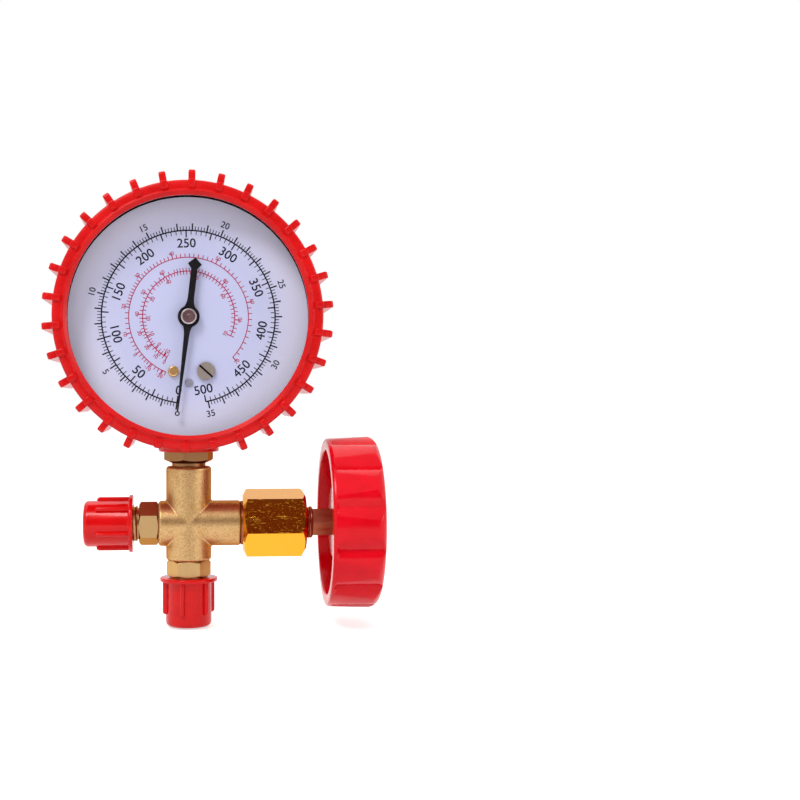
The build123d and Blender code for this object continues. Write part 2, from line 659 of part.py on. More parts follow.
with BuildPart() as restrictor_screw:
    disc(Plane.XY.offset(ring_z - SOCKET_THREAD), RESTRICTOR_R, RESTRICTOR_LENGTH)
    disc(Plane.XY.offset(ring_z - SOCKET_THREAD), RESTRICTOR_HOLE_R, RESTRICTOR_LENGTH,
         mode=Mode.SUBTRACT)
save(restrictor_screw, "restrictor_screw")


# Case, bezel, lens and gasket

with BuildPart() as gauge_case:
    turned_profile(GAUGE_PROFILE, [
        (0, CASE_BACK), (CASE_R, CASE_BACK), (CASE_R, CASE_FRONT),
        (CASE_R - CASE_FLANGE, CASE_FRONT), (CASE_R - CASE_FLANGE, CASE_FRONT - CASE_WALL),
        (CASE_R - CASE_WALL, CASE_FRONT - CASE_WALL),
        (CASE_R - CASE_WALL, CASE_BACK + CASE_WALL), (0, CASE_BACK + CASE_WALL),
    ], GAUGE_AXIS)
    disc(Plane.XY.offset(case_floor - BORE_RUN_OUT), SOCKET_NECK_R + SEAT_FIT,
         2 * BORE_RUN_OUT + CASE_WALL, mode=Mode.SUBTRACT)
    for side in (-1, 1):
        disc(level(CASE_BACK), CASE_SCREW_R + SEAT_FIT, CASE_WALL,
             at=(side * CASE_SCREW_SPACING / 2, -CASE_SCREW_DROP), mode=Mode.SUBTRACT)
save(gauge_case, "gauge_case")

with BuildPart() as case_screws:
    for side in (-1, 1):
        screw_at = (side * CASE_SCREW_SPACING / 2, -CASE_SCREW_DROP)
        disc(level(CASE_BACK), CASE_SCREW_R, CASE_SCREW_LENGTH, at=screw_at)
        disc(level(CASE_BACK), CASE_SCREW_HEAD_R, -CASE_SCREW_HEAD, at=screw_at)
        with BuildSketch(level(CASE_BACK - CASE_SCREW_HEAD)):
            with Locations(screw_at):
                Rectangle(2 * CASE_SCREW_HEAD_R, SLOT_WIDTH)
        extrude(amount=CASE_SCREW_HEAD / 2, mode=Mode.SUBTRACT)
save(case_screws, "case_screws")

with BuildPart() as lens_gasket:
    with BuildSketch(level(CASE_FRONT)):
        Circle(CASE_R)
        Circle(CASE_R - GASKET_WIDTH, mode=Mode.SUBTRACT)
    extrude(amount=GASKET_THICK)
save(lens_gasket, "lens_gasket")

with BuildPart() as lens:
    disc(level(LENS_BACK), CASE_R, LENS_THICK)
    chamfer(lens.edges().sort_by(Axis.Y)[0], LENS_BEVEL)
save(lens, "lens")

with BuildPart() as bezel_ring:
    turned_profile(GAUGE_PROFILE, [
        (BEZEL_R - BEZEL_LIP, LENS_FRONT), (BEZEL_R - BEZEL_LIP, BEZEL_FRONT),
        (BEZEL_R, BEZEL_FRONT), (BEZEL_R, CASE_FRONT - BEZEL_SKIRT),
        (BEZEL_R - BEZEL_WALL, CASE_FRONT - BEZEL_SKIRT), (BEZEL_R - BEZEL_WALL, LENS_FRONT),
    ], GAUGE_AXIS)
save(bezel_ring, "bezel_ring")


# Protective boot: a rubber ring over the bezel and the back edge, with ribs all round

with BuildPart() as protective_boot:
    with BuildSketch(GAUGE_PROFILE) as tyre:
        Polygon((BOOT_LIP_R, BEZEL_FRONT), (BOOT_LIP_R, BOOT_FRONT - BOOT_LIP / 2),
                (BOOT_RIDGE_R, BOOT_FRONT), (BOOT_R, BOOT_FRONT), (BOOT_R, BOOT_REAR),
                (BOOT_BACK_R, BOOT_REAR), (BOOT_BACK_R, CASE_BACK), (BOOT_INNER_R, CASE_BACK),
                (BOOT_INNER_R, BEZEL_FRONT), align=None)
        fillet(corner(tyre, BOOT_R, BOOT_FRONT), BOOT_ROUND)
        fillet(corner(tyre, BOOT_R, BOOT_REAR), BOOT_ROUND)
    revolve(axis=GAUGE_AXIS)
    rib_plane = level(BOOT_REAR + BOOT_ROUND)
    rib_length = BOOT_FRONT - BOOT_REAR - 2 * BOOT_ROUND
    for index in range(BOOT_RIBS):
        rib_angle = 90 + BOOT_RIB_TURN - index * 360 / BOOT_RIBS
        if index not in BOOT_BARE_RIBS:
            with BuildSketch(turned(rib_plane, rib_angle)):
                with Locations((BOOT_R - BOOT_WALL / 2, 0)):
                    Rectangle(BOOT_RIB_R - BOOT_R + BOOT_WALL / 2, BOOT_RIB_WIDTH,
                              align=(Align.MIN, Align.CENTER))
            extrude(amount=rib_length)
        with BuildSketch(turned(level(BOOT_FRONT - BOOT_LIP / 2), rib_angle)):
            with Locations((BOOT_PAD_R, 0)):
                Rectangle(BOOT_R - BOOT_PAD_R - BOOT_ROUND / 2, BOOT_PAD_WIDTH,
                          align=(Align.MIN, Align.CENTER))
        extrude(amount=BOOT_LIP / 2 + BOOT_PAD_PROUD)
    collar_z = GAUGE_Z - BOOT_R - BOOT_COLLAR_PROUD
    disc(Plane.XY.offset(collar_z), BOOT_COLLAR_R, BOOT_COLLAR_PROUD + BOOT_WALL)
    with BuildSketch(GAUGE_PROFILE):
        with Locations((0, CASE_BACK)):
            Rectangle(BOOT_INNER_R, BEZEL_FRONT - CASE_BACK, align=Align.MIN)
    revolve(axis=GAUGE_AXIS, mode=Mode.SUBTRACT)
    with BuildSketch(Plane.XY.offset(collar_z)):
        RegularPolygon(SOCKET_HEX / 2 + BOOT_CLEARANCE, 6, major_radius=False,
                       rotation=SOCKET_HEX_TURN)
    extrude(amount=BOOT_COLLAR_PROUD + 2 * BOOT_WALL, mode=Mode.SUBTRACT)
save(protective_boot, "protective_boot")


# Dial, its screws and the pointer

with BuildPart() as dial_plate:
    disc(level(DIAL_BACK), DIAL_R, DIAL_THICK)
    disc(level(DIAL_BACK), ARBOR_COLLAR_R + BORE_RUN_OUT / 2, DIAL_THICK, mode=Mode.SUBTRACT)
    for at in (DIAL_SCREW_AT, SET_SCREW_AT):
        disc(level(DIAL_BACK), SMALL_SHANK_R + SEAT_FIT, DIAL_THICK, at=at, mode=Mode.SUBTRACT)
    disc(level(DIAL_BACK), CALIBRATION_SHANK_R + RUNNING_FIT, DIAL_THICK, at=CALIBRATION_AT,
         mode=Mode.SUBTRACT)
save(dial_plate, "dial_plate")

with BuildPart() as dial_screw:
    disc(level(FRONT_PLATE_BACK), SMALL_SHANK_R, DIAL_FRONT - FRONT_PLATE_BACK,
         at=DIAL_SCREW_AT)
    disc(level(DIAL_FRONT), DIAL_SCREW_R, DIAL_SCREW_HEAD, at=DIAL_SCREW_AT)
    fillet(dial_screw.edges().sort_by(Axis.Y)[0], DIAL_SCREW_HEAD / 2)
save(dial_screw, "dial_screw")

with BuildPart() as dial_set_screw:
    disc(level(FRONT_PLATE_BACK), SMALL_SHANK_R, DIAL_FRONT - FRONT_PLATE_BACK, at=SET_SCREW_AT)
    disc(level(DIAL_FRONT), SET_SCREW_R, SET_SCREW_HEAD, at=SET_SCREW_AT)
    fillet(dial_set_screw.edges().sort_by(Axis.Y)[0], SET_SCREW_HEAD / 2)
save(dial_set_screw, "dial_set_screw")

with BuildPart() as calibration_screw:
    disc(level(FRONT_PLATE_BACK), CALIBRATION_SHANK_R,
         DIAL_FRONT + RUNNING_FIT - FRONT_PLATE_BACK, at=CALIBRATION_AT)
    disc(level(DIAL_FRONT + RUNNING_FIT), CALIBRATION_R, CALIBRATION_HEAD, at=CALIBRATION_AT)
    with BuildSketch(level(DIAL_FRONT + RUNNING_FIT + CALIBRATION_HEAD)):
        with Locations(CALIBRATION_AT):
            Rectangle(3 * CALIBRATION_R, SLOT_WIDTH, rotation=CALIBRATION_SLOT_TURN)
    extrude(amount=-SLOT_DEPTH, mode=Mode.SUBTRACT)
save(calibration_screw, "calibration_screw")

needle_plane = turned(level(POINTER_BACK), -90 - POINTER_REST)

with BuildPart() as pointer:
    with BuildSketch(needle_plane):
        Circle(POINTER_HUB_R)
        Polygon((0, -NEEDLE_ROOT / 2), (NEEDLE_LENGTH - LOOP_R, -NEEDLE_TIP / 2),
                (NEEDLE_LENGTH - LOOP_R, NEEDLE_TIP / 2), (0, NEEDLE_ROOT / 2), align=None)
        with Locations((NEEDLE_LENGTH - LOOP_R, 0)):
            Circle(LOOP_R)
        arrow_x = -(TAIL_LENGTH - ARROW_POINT)
        neck_x = arrow_x + ARROW_BACK
        Polygon((0, -TAIL_ROOT / 2), (0, TAIL_ROOT / 2), (neck_x, TAIL_NECK / 2),
                (arrow_x, ARROW_WIDTH / 2), (-TAIL_LENGTH, 0), (arrow_x, -ARROW_WIDTH / 2),
                (neck_x, -TAIL_NECK / 2), align=None)
        with Locations((NEEDLE_LENGTH - LOOP_R, 0)):
            Circle(LOOP_HOLE_R, mode=Mode.SUBTRACT)
    extrude(amount=POINTER_THICK)
    disc(level(POINTER_BACK - POINTER_BOSS), POINTER_BOSS_R, POINTER_BOSS)
    disc(level(POINTER_BACK - POINTER_BOSS), ARBOR_R + SEAT_FIT, POINTER_BOSS + POINTER_THICK,
         mode=Mode.SUBTRACT)
save(pointer, "pointer")

with BuildPart() as pointer_cap:
    disc(level(POINTER_FRONT), POINTER_CAP_R, POINTER_CAP)
    chamfer(pointer_cap.edges().sort_by(Axis.Y)[0], POINTER_CAP / 3)
save(pointer_cap, "pointer_cap")


# Movement plates, pillars and screws

with BuildPart() as movement_back_plate:
    with BuildSketch(level(BACK_PLATE_BACK)):
        for at in PILLARS:
            with Locations(at):
                Circle(PLATE_CORNER_R)
        make_hull()
        with Locations((0, SOCKET_BLOCK_TOP + SEAT_FIT)):
            Rectangle(SOCKET_BLOCK_WIDTH + 2 * SEAT_FIT, SOCKET_BLOCK_WIDTH,
                      align=(Align.CENTER, Align.MAX), mode=Mode.SUBTRACT)
        for at in MOVEMENT_SCREW_AT:
            with Locations(at):
                Circle(MOVEMENT_SCREW_R + SEAT_FIT, mode=Mode.SUBTRACT)
        for at in ((0, 0), (0, -GEAR_DISTANCE)):
            with Locations(at):
                Circle(ARBOR_R + RUNNING_FIT, mode=Mode.SUBTRACT)
    extrude(amount=PLATE_THICK)
save(movement_back_plate, "movement_back_plate")

with BuildPart() as movement_front_plate:
    with BuildSketch(level(FRONT_PLATE_BACK)):
        for at in PILLARS + (DIAL_SCREW_AT, SET_SCREW_AT):
            with Locations(at):
                Circle(DIAL_BOSS_R)
        make_hull()
    extrude(amount=PLATE_THICK)
    for at in (DIAL_SCREW_AT, SET_SCREW_AT):
        disc(level(FRONT_PLATE_FRONT), DIAL_BOSS_R, DIAL_BACK - FRONT_PLATE_FRONT, at=at)
        disc(level(FRONT_PLATE_BACK), SMALL_SHANK_R + SEAT_FIT, DIAL_BACK - FRONT_PLATE_BACK,
             at=at, mode=Mode.SUBTRACT)
    disc(level(FRONT_PLATE_BACK), CALIBRATION_SHANK_R + RUNNING_FIT, PLATE_THICK,
         at=CALIBRATION_AT, mode=Mode.SUBTRACT)
    for at in ((0, 0), (0, -GEAR_DISTANCE)):
        disc(level(FRONT_PLATE_BACK), ARBOR_R + RUNNING_FIT, PLATE_THICK, at=at,
             mode=Mode.SUBTRACT)
save(movement_front_plate, "movement_front_plate")

with BuildPart() as movement_pillars:
    for at in PILLARS:
        disc(level(BACK_PLATE_FRONT), PILLAR_R, FRONT_PLATE_BACK - BACK_PLATE_FRONT, at=at)
save(movement_pillars, "movement_pillars")

with BuildPart() as movement_screws:
    for at in MOVEMENT_SCREW_AT:
        disc(level(BACK_PLATE_FRONT), MOVEMENT_SCREW_HEAD_R, MOVEMENT_SCREW_HEAD, at=at)
        disc(level(BACK_PLATE_FRONT), MOVEMENT_SCREW_R,
             -(PLATE_THICK + MOVEMENT_SCREW_LENGTH - BORE_RUN_OUT), at=at)
save(movement_screws, "movement_screws")


# Gears: a pinion on the pointer's arbor and a toothed sector below it

def teeth(pitch_r, pitch_angle, first, count):
    """Straight-sided teeth round the local origin, counted from the local x direction."""
    root_r = pitch_r - DEDENDUM * GEAR_MODULE
    base_r = root_r - GEAR_MODULE / 2
    tip_r = pitch_r + ADDENDUM * GEAR_MODULE
    half = math.pi * GEAR_MODULE * TOOTH_SHARE / 2
    half_tip = math.pi * GEAR_MODULE * TOOTH_TIP_SHARE / 2
    half_root = math.pi * GEAR_MODULE * TOOTH_ROOT_SHARE / 2
    for index in range(count):
        with Locations(Location((0, 0), first + index * pitch_angle)):
            Polygon((base_r, -half_root), (root_r, -half_root), (pitch_r, -half),
                    (tip_r, -half_tip), (tip_r, half_tip), (pitch_r, half),
                    (root_r, half_root), (base_r, half_root), align=None)


with BuildPart() as pinion_arbor:
    collar_front = FRONT_PLATE_BACK - RUNNING_FIT
    disc(level(BACK_PLATE_BACK + RUNNING_FIT), ARBOR_R, POINTER_FRONT - BACK_PLATE_BACK - RUNNING_FIT)
    disc(level(BACK_PLATE_FRONT + RUNNING_FIT), ARBOR_COLLAR_R,
         collar_front - BACK_PLATE_FRONT - RUNNING_FIT)
    with BuildSketch(level(SECTOR_BACK - (PINION_LENGTH - SECTOR_THICK) / 2)):
        Circle(PINION_R - DEDENDUM * GEAR_MODULE)
        teeth(PINION_R, PINION_TOOTH_PITCH, -90 + PINION_TOOTH_PITCH / 2, PINION_TEETH)
    extrude(amount=PINION_LENGTH)
save(pinion_arbor, "pinion_arbor")

sector_plane = Plane(origin=(0, -SECTOR_BACK, GAUGE_Z - GEAR_DISTANCE), x_dir=(1, 0, 0),
                     z_dir=(0, -1, 0))
tail_at = (TAIL_ARM * math.cos(math.radians(TAIL_ARM_TURN)),
           TAIL_ARM * math.sin(math.radians(TAIL_ARM_TURN)))

with BuildPart() as sector_gear:
    with BuildSketch(sector_plane):
        sector_root = SECTOR_R - DEDENDUM * GEAR_MODULE
        span = (SECTOR_SPAN_TEETH - 1) * SECTOR_TOOTH_PITCH
        first = 90 + SECTOR_TOOTH_PITCH
        with BuildLine():
            low = first + SECTOR_TOOTH_PITCH - span
            outer = CenterArc((0, 0), sector_root, low - SECTOR_TOOTH_PITCH,
                              span + SECTOR_TOOTH_PITCH)
            Polyline(outer @ 1, (0, 0), outer @ 0)
        make_face()
        with BuildLine():
            window = CenterArc((0, 0), sector_root - SECTOR_RIM, low + SECTOR_TOOTH_PITCH,
                               span - 3 * SECTOR_TOOTH_PITCH)
            inner = CenterArc((0, 0), SECTOR_WINDOW_R, low + SECTOR_TOOTH_PITCH,
                              span - 3 * SECTOR_TOOTH_PITCH)
            Line(window @ 0, inner @ 0)
            Line(window @ 1, inner @ 1)
        make_face(mode=Mode.SUBTRACT)
        Circle(SECTOR_HUB_R)
        teeth(SECTOR_R, -SECTOR_TOOTH_PITCH, first, SECTOR_SPAN_TEETH)
        with Locations((tail_at[0] / 2, tail_at[1] / 2)):
            SlotCenterToCenter(TAIL_ARM, TAIL_ARM_WIDTH, rotation=TAIL_ARM_TURN)
        Circle(ARBOR_R + SEAT_FIT, mode=Mode.SUBTRACT)
        with Locations(tail_at):
            Circle(LINK_PIN_R + RUNNING_FIT, mode=Mode.SUBTRACT)
    extrude(amount=SECTOR_THICK)
save(sector_gear, "sector_gear")

with BuildPart() as sector_arbor:
    arbor_at = (0, -GEAR_DISTANCE)
    disc(level(BACK_PLATE_BACK + RUNNING_FIT), ARBOR_R,
         FRONT_PLATE_FRONT - BACK_PLATE_BACK - 2 * RUNNING_FIT, at=arbor_at)
    disc(level(BACK_PLATE_FRONT + RUNNING_FIT), ARBOR_COLLAR_R,
         SECTOR_BACK - BACK_PLATE_FRONT - RUNNING_FIT, at=arbor_at)
    disc(level(SECTOR_FRONT), ARBOR_COLLAR_R, FRONT_PLATE_BACK - SECTOR_FRONT - RUNNING_FIT,
         at=arbor_at)
save(sector_arbor, "sector_arbor")


# Link between the sector's tail and the tip of the tube

tip_angle = math.radians(TUBE_END)
ear_turn = TUBE_END - math.degrees(TIP_LENGTH / 2 / TIP_PIN_REACH)
ear_angle = math.radians(ear_turn)
tail_pin_at = (tail_at[0], tail_at[1] - GEAR_DISTANCE)
tip_pin_at = (TIP_PIN_REACH * math.cos(ear_angle), TIP_PIN_REACH * math.sin(ear_angle))
link_run = (tip_pin_at[0] - tail_pin_at[0], tip_pin_at[1] - tail_pin_at[1])
link_length = math.hypot(*link_run)
link_turn = math.degrees(math.atan2(link_run[1], link_run[0]))
link_middle = ((tip_pin_at[0] + tail_pin_at[0]) / 2, (tip_pin_at[1] + tail_pin_at[1]) / 2)

with BuildPart() as link_bar:
    with BuildSketch(level(LINK_BACK)):
        with Locations(link_middle):
            SlotCenterToCenter(link_length, LINK_WIDTH, rotation=link_turn)
        with Locations(tail_pin_at):
            Circle(LINK_PIN_R + SEAT_FIT, mode=Mode.SUBTRACT)
        with Locations(tip_pin_at):
            Circle(LINK_PIN_R + TIP_PIVOT_PLAY, mode=Mode.SUBTRACT)
    extrude(amount=LINK_THICK)
save(link_bar, "link_bar")

with BuildPart() as tail_pin:
    pin_front = SECTOR_FRONT + RUNNING_FIT
    disc(level(LINK_BACK), LINK_PIN_R, pin_front - LINK_BACK, at=tail_pin_at)
    disc(level(pin_front), LINK_PIN_HEAD_R, LINK_PIN_HEAD, at=tail_pin_at)
save(tail_pin, "tail_pin")

ear_front = LINK_BACK - LINK_GAP

with BuildPart() as tip_pin:
    disc(level(ear_front - TIP_EAR_THICK), LINK_PIN_R, LINK_BACK + LINK_THICK - ear_front
         + TIP_EAR_THICK + LINK_GAP, at=tip_pin_at)
    disc(level(LINK_BACK + LINK_THICK + LINK_GAP), LINK_PIN_HEAD_R + TIP_PIVOT_PLAY,
         LINK_PIN_HEAD, at=tip_pin_at)
save(tip_pin, "tip_pin")


# Tube: a flattened tube bent round the gauge's axis, from the socket to its tip

tube_root = 180 + tube_start
tube_arc = tube_root - TUBE_END

with BuildPart() as bourdon_tube:
    tube_plane = Plane(origin=(0, 0, GAUGE_Z),
                       x_dir=(math.cos(math.radians(tube_root)), 0,
                              math.sin(math.radians(tube_root))),
                       z_dir=(-math.sin(math.radians(tube_root)), 0,
                              math.cos(math.radians(tube_root))))
    with BuildSketch(tube_plane):
        with Locations((TUBE_R, 0)):
            SlotOverall(TUBE_WIDTH, TUBE_HEIGHT, rotation=90)
            SlotOverall(TUBE_WIDTH - 2 * TUBE_WALL, TUBE_HEIGHT - 2 * TUBE_WALL, rotation=90,
                        mode=Mode.SUBTRACT)
    revolve(axis=Axis((0, 0, GAUGE_Z), (0, 1, 0)), revolution_arc=tube_arc)
save(bourdon_tube, "bourdon_tube")

with BuildPart() as tube_tip:
    tip_plane = Plane(origin=(0, 0, GAUGE_Z),
                      x_dir=(math.cos(tip_angle), 0, math.sin(tip_angle)),
                      z_dir=(math.sin(tip_angle), 0, -math.cos(tip_angle)))
    with BuildSketch(tip_plane):
        with Locations((TUBE_R, 0)):
            SlotOverall(TUBE_WIDTH, TUBE_HEIGHT, rotation=90)
    extrude(amount=TIP_LENGTH)
    with BuildSketch(turned(level(ear_front - TIP_EAR_THICK), TUBE_END)):
        pin_drop = -TIP_PIN_REACH * math.sin(tip_angle - ear_angle)
        pin_out = TIP_PIN_REACH * math.cos(tip_angle - ear_angle)
        with Locations((pin_out, pin_drop)):
            Circle(TIP_EAR_WIDTH / 2)
            Rectangle(TUBE_R - pin_out, TIP_EAR_WIDTH, align=(Align.MIN, Align.CENTER))
            Circle(LINK_PIN_R + SEAT_FIT, mode=Mode.SUBTRACT)
    extrude(amount=TIP_EAR_THICK)
save(tube_tip, "tube_tip")


# Hairspring, its collet on the arbor and its stud on the back of the front plate

with BuildPart() as hairspring:
    with BuildSketch(level(SPRING_BACK)):
        for index in range(SPRING_HALF_TURNS):
            spring_r = SPRING_INNER_R + index * SPRING_PITCH / 2
            centre = (0 if index % 2 == 0 else SPRING_PITCH / 2, 0)
            start = 0 if index % 2 == 0 else 180
            with BuildLine():
                outer = CenterArc(centre, spring_r + SPRING_STRIP / 2, start, 180)
                inner = CenterArc(centre, spring_r - SPRING_STRIP / 2, start, 180)
                Line(outer @ 0, inner @ 0)
                Line(outer @ 1, inner @ 1)
            make_face()
    extrude(amount=SPRING_WIDTH)
save(hairspring, "hairspring")

with BuildPart() as hairspring_collet:
    collet_back = SPRING_BACK + SPRING_WIDTH / 2 - COLLET_LENGTH / 2
    with BuildSketch(level(collet_back)):
        Circle(SPRING_INNER_R - SPRING_STRIP / 2 - SEAT_FIT)
        Circle(ARBOR_COLLAR_R + SEAT_FIT, mode=Mode.SUBTRACT)
    extrude(amount=COLLET_LENGTH)
save(hairspring_collet, "hairspring_collet")

with BuildPart() as hairspring_stud:
    last_r = SPRING_INNER_R + (SPRING_HALF_TURNS - 1) * SPRING_PITCH / 2
    stud_x = -last_r - SPRING_STRIP / 2
    with BuildSketch(level(SPRING_BACK)):
        with Locations((stud_x, 0)):
            Rectangle(STUD_WIDTH, STUD_HEIGHT, align=(Align.MAX, Align.CENTER))
    extrude(amount=FRONT_PLATE_BACK - SPRING_BACK)
save(hairspring_stud, "hairspring_stud")
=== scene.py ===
import logging
import math
from abc import ABC, abstractmethod
from dataclasses import dataclass, field
from enum import Enum
from typing import Callable, Union

import bmesh
import bpy
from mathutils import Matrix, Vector


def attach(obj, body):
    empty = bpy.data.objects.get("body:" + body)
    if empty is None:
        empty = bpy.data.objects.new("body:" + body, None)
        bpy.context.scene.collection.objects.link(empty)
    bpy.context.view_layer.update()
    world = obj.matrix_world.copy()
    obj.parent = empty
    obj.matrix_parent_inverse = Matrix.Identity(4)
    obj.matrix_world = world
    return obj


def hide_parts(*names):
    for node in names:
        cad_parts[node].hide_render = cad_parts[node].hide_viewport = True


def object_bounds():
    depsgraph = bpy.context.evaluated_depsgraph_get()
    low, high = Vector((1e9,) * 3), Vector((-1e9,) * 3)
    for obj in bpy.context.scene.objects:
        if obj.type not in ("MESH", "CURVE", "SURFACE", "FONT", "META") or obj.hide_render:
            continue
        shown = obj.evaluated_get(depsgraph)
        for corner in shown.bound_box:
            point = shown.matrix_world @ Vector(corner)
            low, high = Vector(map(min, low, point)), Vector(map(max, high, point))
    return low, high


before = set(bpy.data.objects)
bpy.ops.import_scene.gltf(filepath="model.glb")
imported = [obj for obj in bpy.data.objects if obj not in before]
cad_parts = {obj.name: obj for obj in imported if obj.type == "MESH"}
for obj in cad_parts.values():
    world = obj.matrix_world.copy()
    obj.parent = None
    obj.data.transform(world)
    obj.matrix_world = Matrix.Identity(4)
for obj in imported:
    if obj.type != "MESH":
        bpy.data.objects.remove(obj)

CAD_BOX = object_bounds()
MM = 0.001
GAUGE_Z = 86.6
VALVE_Z = 22.1
LOG = logging.getLogger("gauge")

Colour = tuple[float, float, float]
Radius = Union[float, Callable[[float], float]]
EDGE_TURNS = (0.0, 0.52, 1.05, 1.57)
END_STEPS = 4
LEAST_CREST = 0.05
WELD = 1e-6


class Body(Enum):
    """The bodies of the frame that pieces ride on."""

    CASE = "valve_and_case"
    POINTER = "pointer_and_pinion"
    STEM = "stem_and_wheel"
    SIDE_CAP = "side_cap"
    HOSE_CAP = "hose_cap"


class Direction(Enum):
    """The axis that a part was turned about, which its tool marks run round."""

    X = 0
    Y = 1
    Z = 2


# Materials: sockets, graphs and finishes

@dataclass(frozen=True)
class Wire:
    """One output socket, with arithmetic that adds Math nodes."""

    graph: "Graph"
    socket: bpy.types.NodeSocket

    def _math(self, operation: str, *values: "Wire | float") -> "Wire":
        """One Math node on the values, which may be wires or numbers."""
        added = self.graph.node("ShaderNodeMath", {"operation": operation}, dict(enumerate(values)))
        return Wire(self.graph, added.outputs[0])

    def __add__(self, other: "Wire | float") -> "Wire":
        """self + other."""
        return self._math("ADD", self, other)

    def __radd__(self, other: float) -> "Wire":
        """other + self."""
        return self._math("ADD", other, self)

    def __sub__(self, other: "Wire | float") -> "Wire":
        """self - other."""
        return self._math("SUBTRACT", self, other)

    def __rsub__(self, other: float) -> "Wire":
        """other - self."""
        return self._math("SUBTRACT", other, self)

    def __mul__(self, other: "Wire | float") -> "Wire":
        """self * other."""
        return self._math("MULTIPLY", self, other)

    def __rmul__(self, other: float) -> "Wire":
        """other * self."""
        return self._math("MULTIPLY", other, self)

    def larger(self, other: "Wire | float") -> "Wire":
        """The larger of self and other."""
        return self._math("MAXIMUM", self, other)

    def step(self, low: float, high: float) -> "Wire":
        """A smooth rise between two values.

        Args:
            low: Where it is still 0.
            high: Where it has reached 1.

        Returns:
            The rise.
        """
        added = self.graph.node(
            "ShaderNodeMapRange", {"interpolation_type": "SMOOTHSTEP"},
            {"Value": self, "From Min": low, "From Max": high})
        return Wire(self.graph, added.outputs["Result"])


class Graph:
    """The node tree of a material or of the world."""

    def __init__(self, owner: bpy.types.Material | bpy.types.World) -> None:
        """Empties the owner's node tree.

        Args:
            owner: What the nodes belong to.
        """
        owner.use_nodes = True
        self.tree = owner.node_tree
        self.tree.nodes.clear()

    def node(self, kind: str, settings: dict | None = None,
             inputs: dict | None = None) -> bpy.types.Node:
        """Adds a node.

        Args:
            kind: The node's type.
            settings: Its settings, which are set first.
            inputs: Values or wires, by socket name or number.

        Returns:
            The new node.
        """
        added = self.tree.nodes.new(kind)
        for key, value in (settings or {}).items():
            setattr(added, key, value)
        for key, value in (inputs or {}).items():
            socket = added.inputs[key]
            if isinstance(value, Wire):
                self.tree.links.new(value.socket, socket)
            else:
                socket.default_value = value
        return added

    def out(self, node: bpy.types.Node, output: str | int = 0) -> Wire:
        """One of a node's outputs as a wire."""
        return Wire(self, node.outputs[output])

    def place(self, stretch: Colour = (1.0, 1.0, 1.0)) -> Wire:
        """The place on the part in millimetres.

        Args:
            stretch: How far each axis is multiplied, to draw a pattern out.

        Returns:
            The stretched place.
        """
        where = self.out(self.node("ShaderNodeTexCoord"), "Object")
        scale = tuple(value / MM for value in stretch)
        return self.out(self.node(
            "ShaderNodeVectorMath", {"operation": "MULTIPLY"}, {0: where, 1: scale}))

    def along(self, direction: Direction) -> Wire:
        """The place along one axis, in millimetres."""
        split = self.node("ShaderNodeSeparateXYZ", {}, {0: self.place()})
        return self.out(split, direction.value)

    def noise(self, per_mm: float, detail: float = 3.0, rough: float = 0.5,
              stretch: Colour = (1.0, 1.0, 1.0)) -> Wire:
        """Soft noise between 0 and 1.

        Args:
            per_mm: Lumps in a millimetre.
            detail: Finer layers on top.
            rough: How strong they are.
            stretch: The pattern's stretch along each axis.

        Returns:
            The noise.
        """
        return self.out(self.node("ShaderNodeTexNoise", {}, {
            "Vector": self.place(stretch), "Scale": per_mm, "Detail": detail,
            "Roughness": rough}), "Fac")

    def pits(self, per_mm: float) -> Wire:
        """The distance to the nearest of scattered points, for grains and pits."""
        return self.out(self.node("ShaderNodeTexVoronoi", {}, {
            "Vector": self.place(), "Scale": per_mm}), "Distance")

    def mix(self, mask: Wire, low: "Wire | Colour", high: "Wire | Colour") -> Wire:
        """A colour between two.

        Args:
            mask: 0 for the first and 1 for the second.
            low: The first colour.
            high: The second.

        Returns:
            The mixed colour.
        """
        added = self.node("ShaderNodeMix", {"data_type": "RGBA"})
        for key, value in ((0, mask), (6, low), (7, high)):
            socket = added.inputs[key]
            if isinstance(value, Wire):
                self.tree.links.new(value.socket, socket)
            else:
                socket.default_value = (*value, 1.0)
        return Wire(self, added.outputs[2])

    def bump(self, height: Wire, depth_mm: float) -> Wire:
        """A normal that a height between 0 and 1 tilts, as if it were depth_mm deep."""
        return self.out(self.node("ShaderNodeBump", {}, {
            "Height": height, "Distance": depth_mm * MM, "Strength": 1.0}), "Normal")

    def principled(self, **inputs: "Wire | float | Colour") -> Wire:
        """The surface itself.

        Args:
            inputs: Its sockets' values, with underscores for the spaces in their names.

        Returns:
            The shader.
        """
        sockets = {}
        for key, value in inputs.items():
            if isinstance(value, tuple):
                value = (*value, 1.0)
            sockets[key.replace("_", " ")] = value
        return self.out(self.node("ShaderNodeBsdfPrincipled", {}, sockets))

    def seen(self) -> Wire:
        """Tells what is looked at from what only gives light.

        Returns:
            1 for what the camera, a mirror or a window sees, and 0 for the rest.
        """
        path = self.node("ShaderNodeLightPath")
        rays = [self.out(path, f"Is {kind} Ray") for kind in ("Camera", "Glossy", "Transmission")]
        return rays[0].larger(rays[1]).larger(rays[2])


@dataclass(frozen=True)
class Finish(ABC):
    """A finish that can be put on a piece."""

    name: str

    @abstractmethod
    def draw(self, graph: Graph) -> Wire:
        """Draws the finish's shader.

        Args:
            graph: The material's graph.

        Returns:
            The shader.
        """

    def material(self) -> bpy.types.Material:
        """Makes the finish's material once, and finds it after that.

        Returns:
            The material.
        """
        known = bpy.data.materials.get(f"{self.name}_finish")
        if known:
            return known
        made = bpy.data.materials.new(f"{self.name}_finish")
        graph = Graph(made)
        graph.node("ShaderNodeOutputMaterial", {}, {"Surface": self.draw(graph)})
        return made


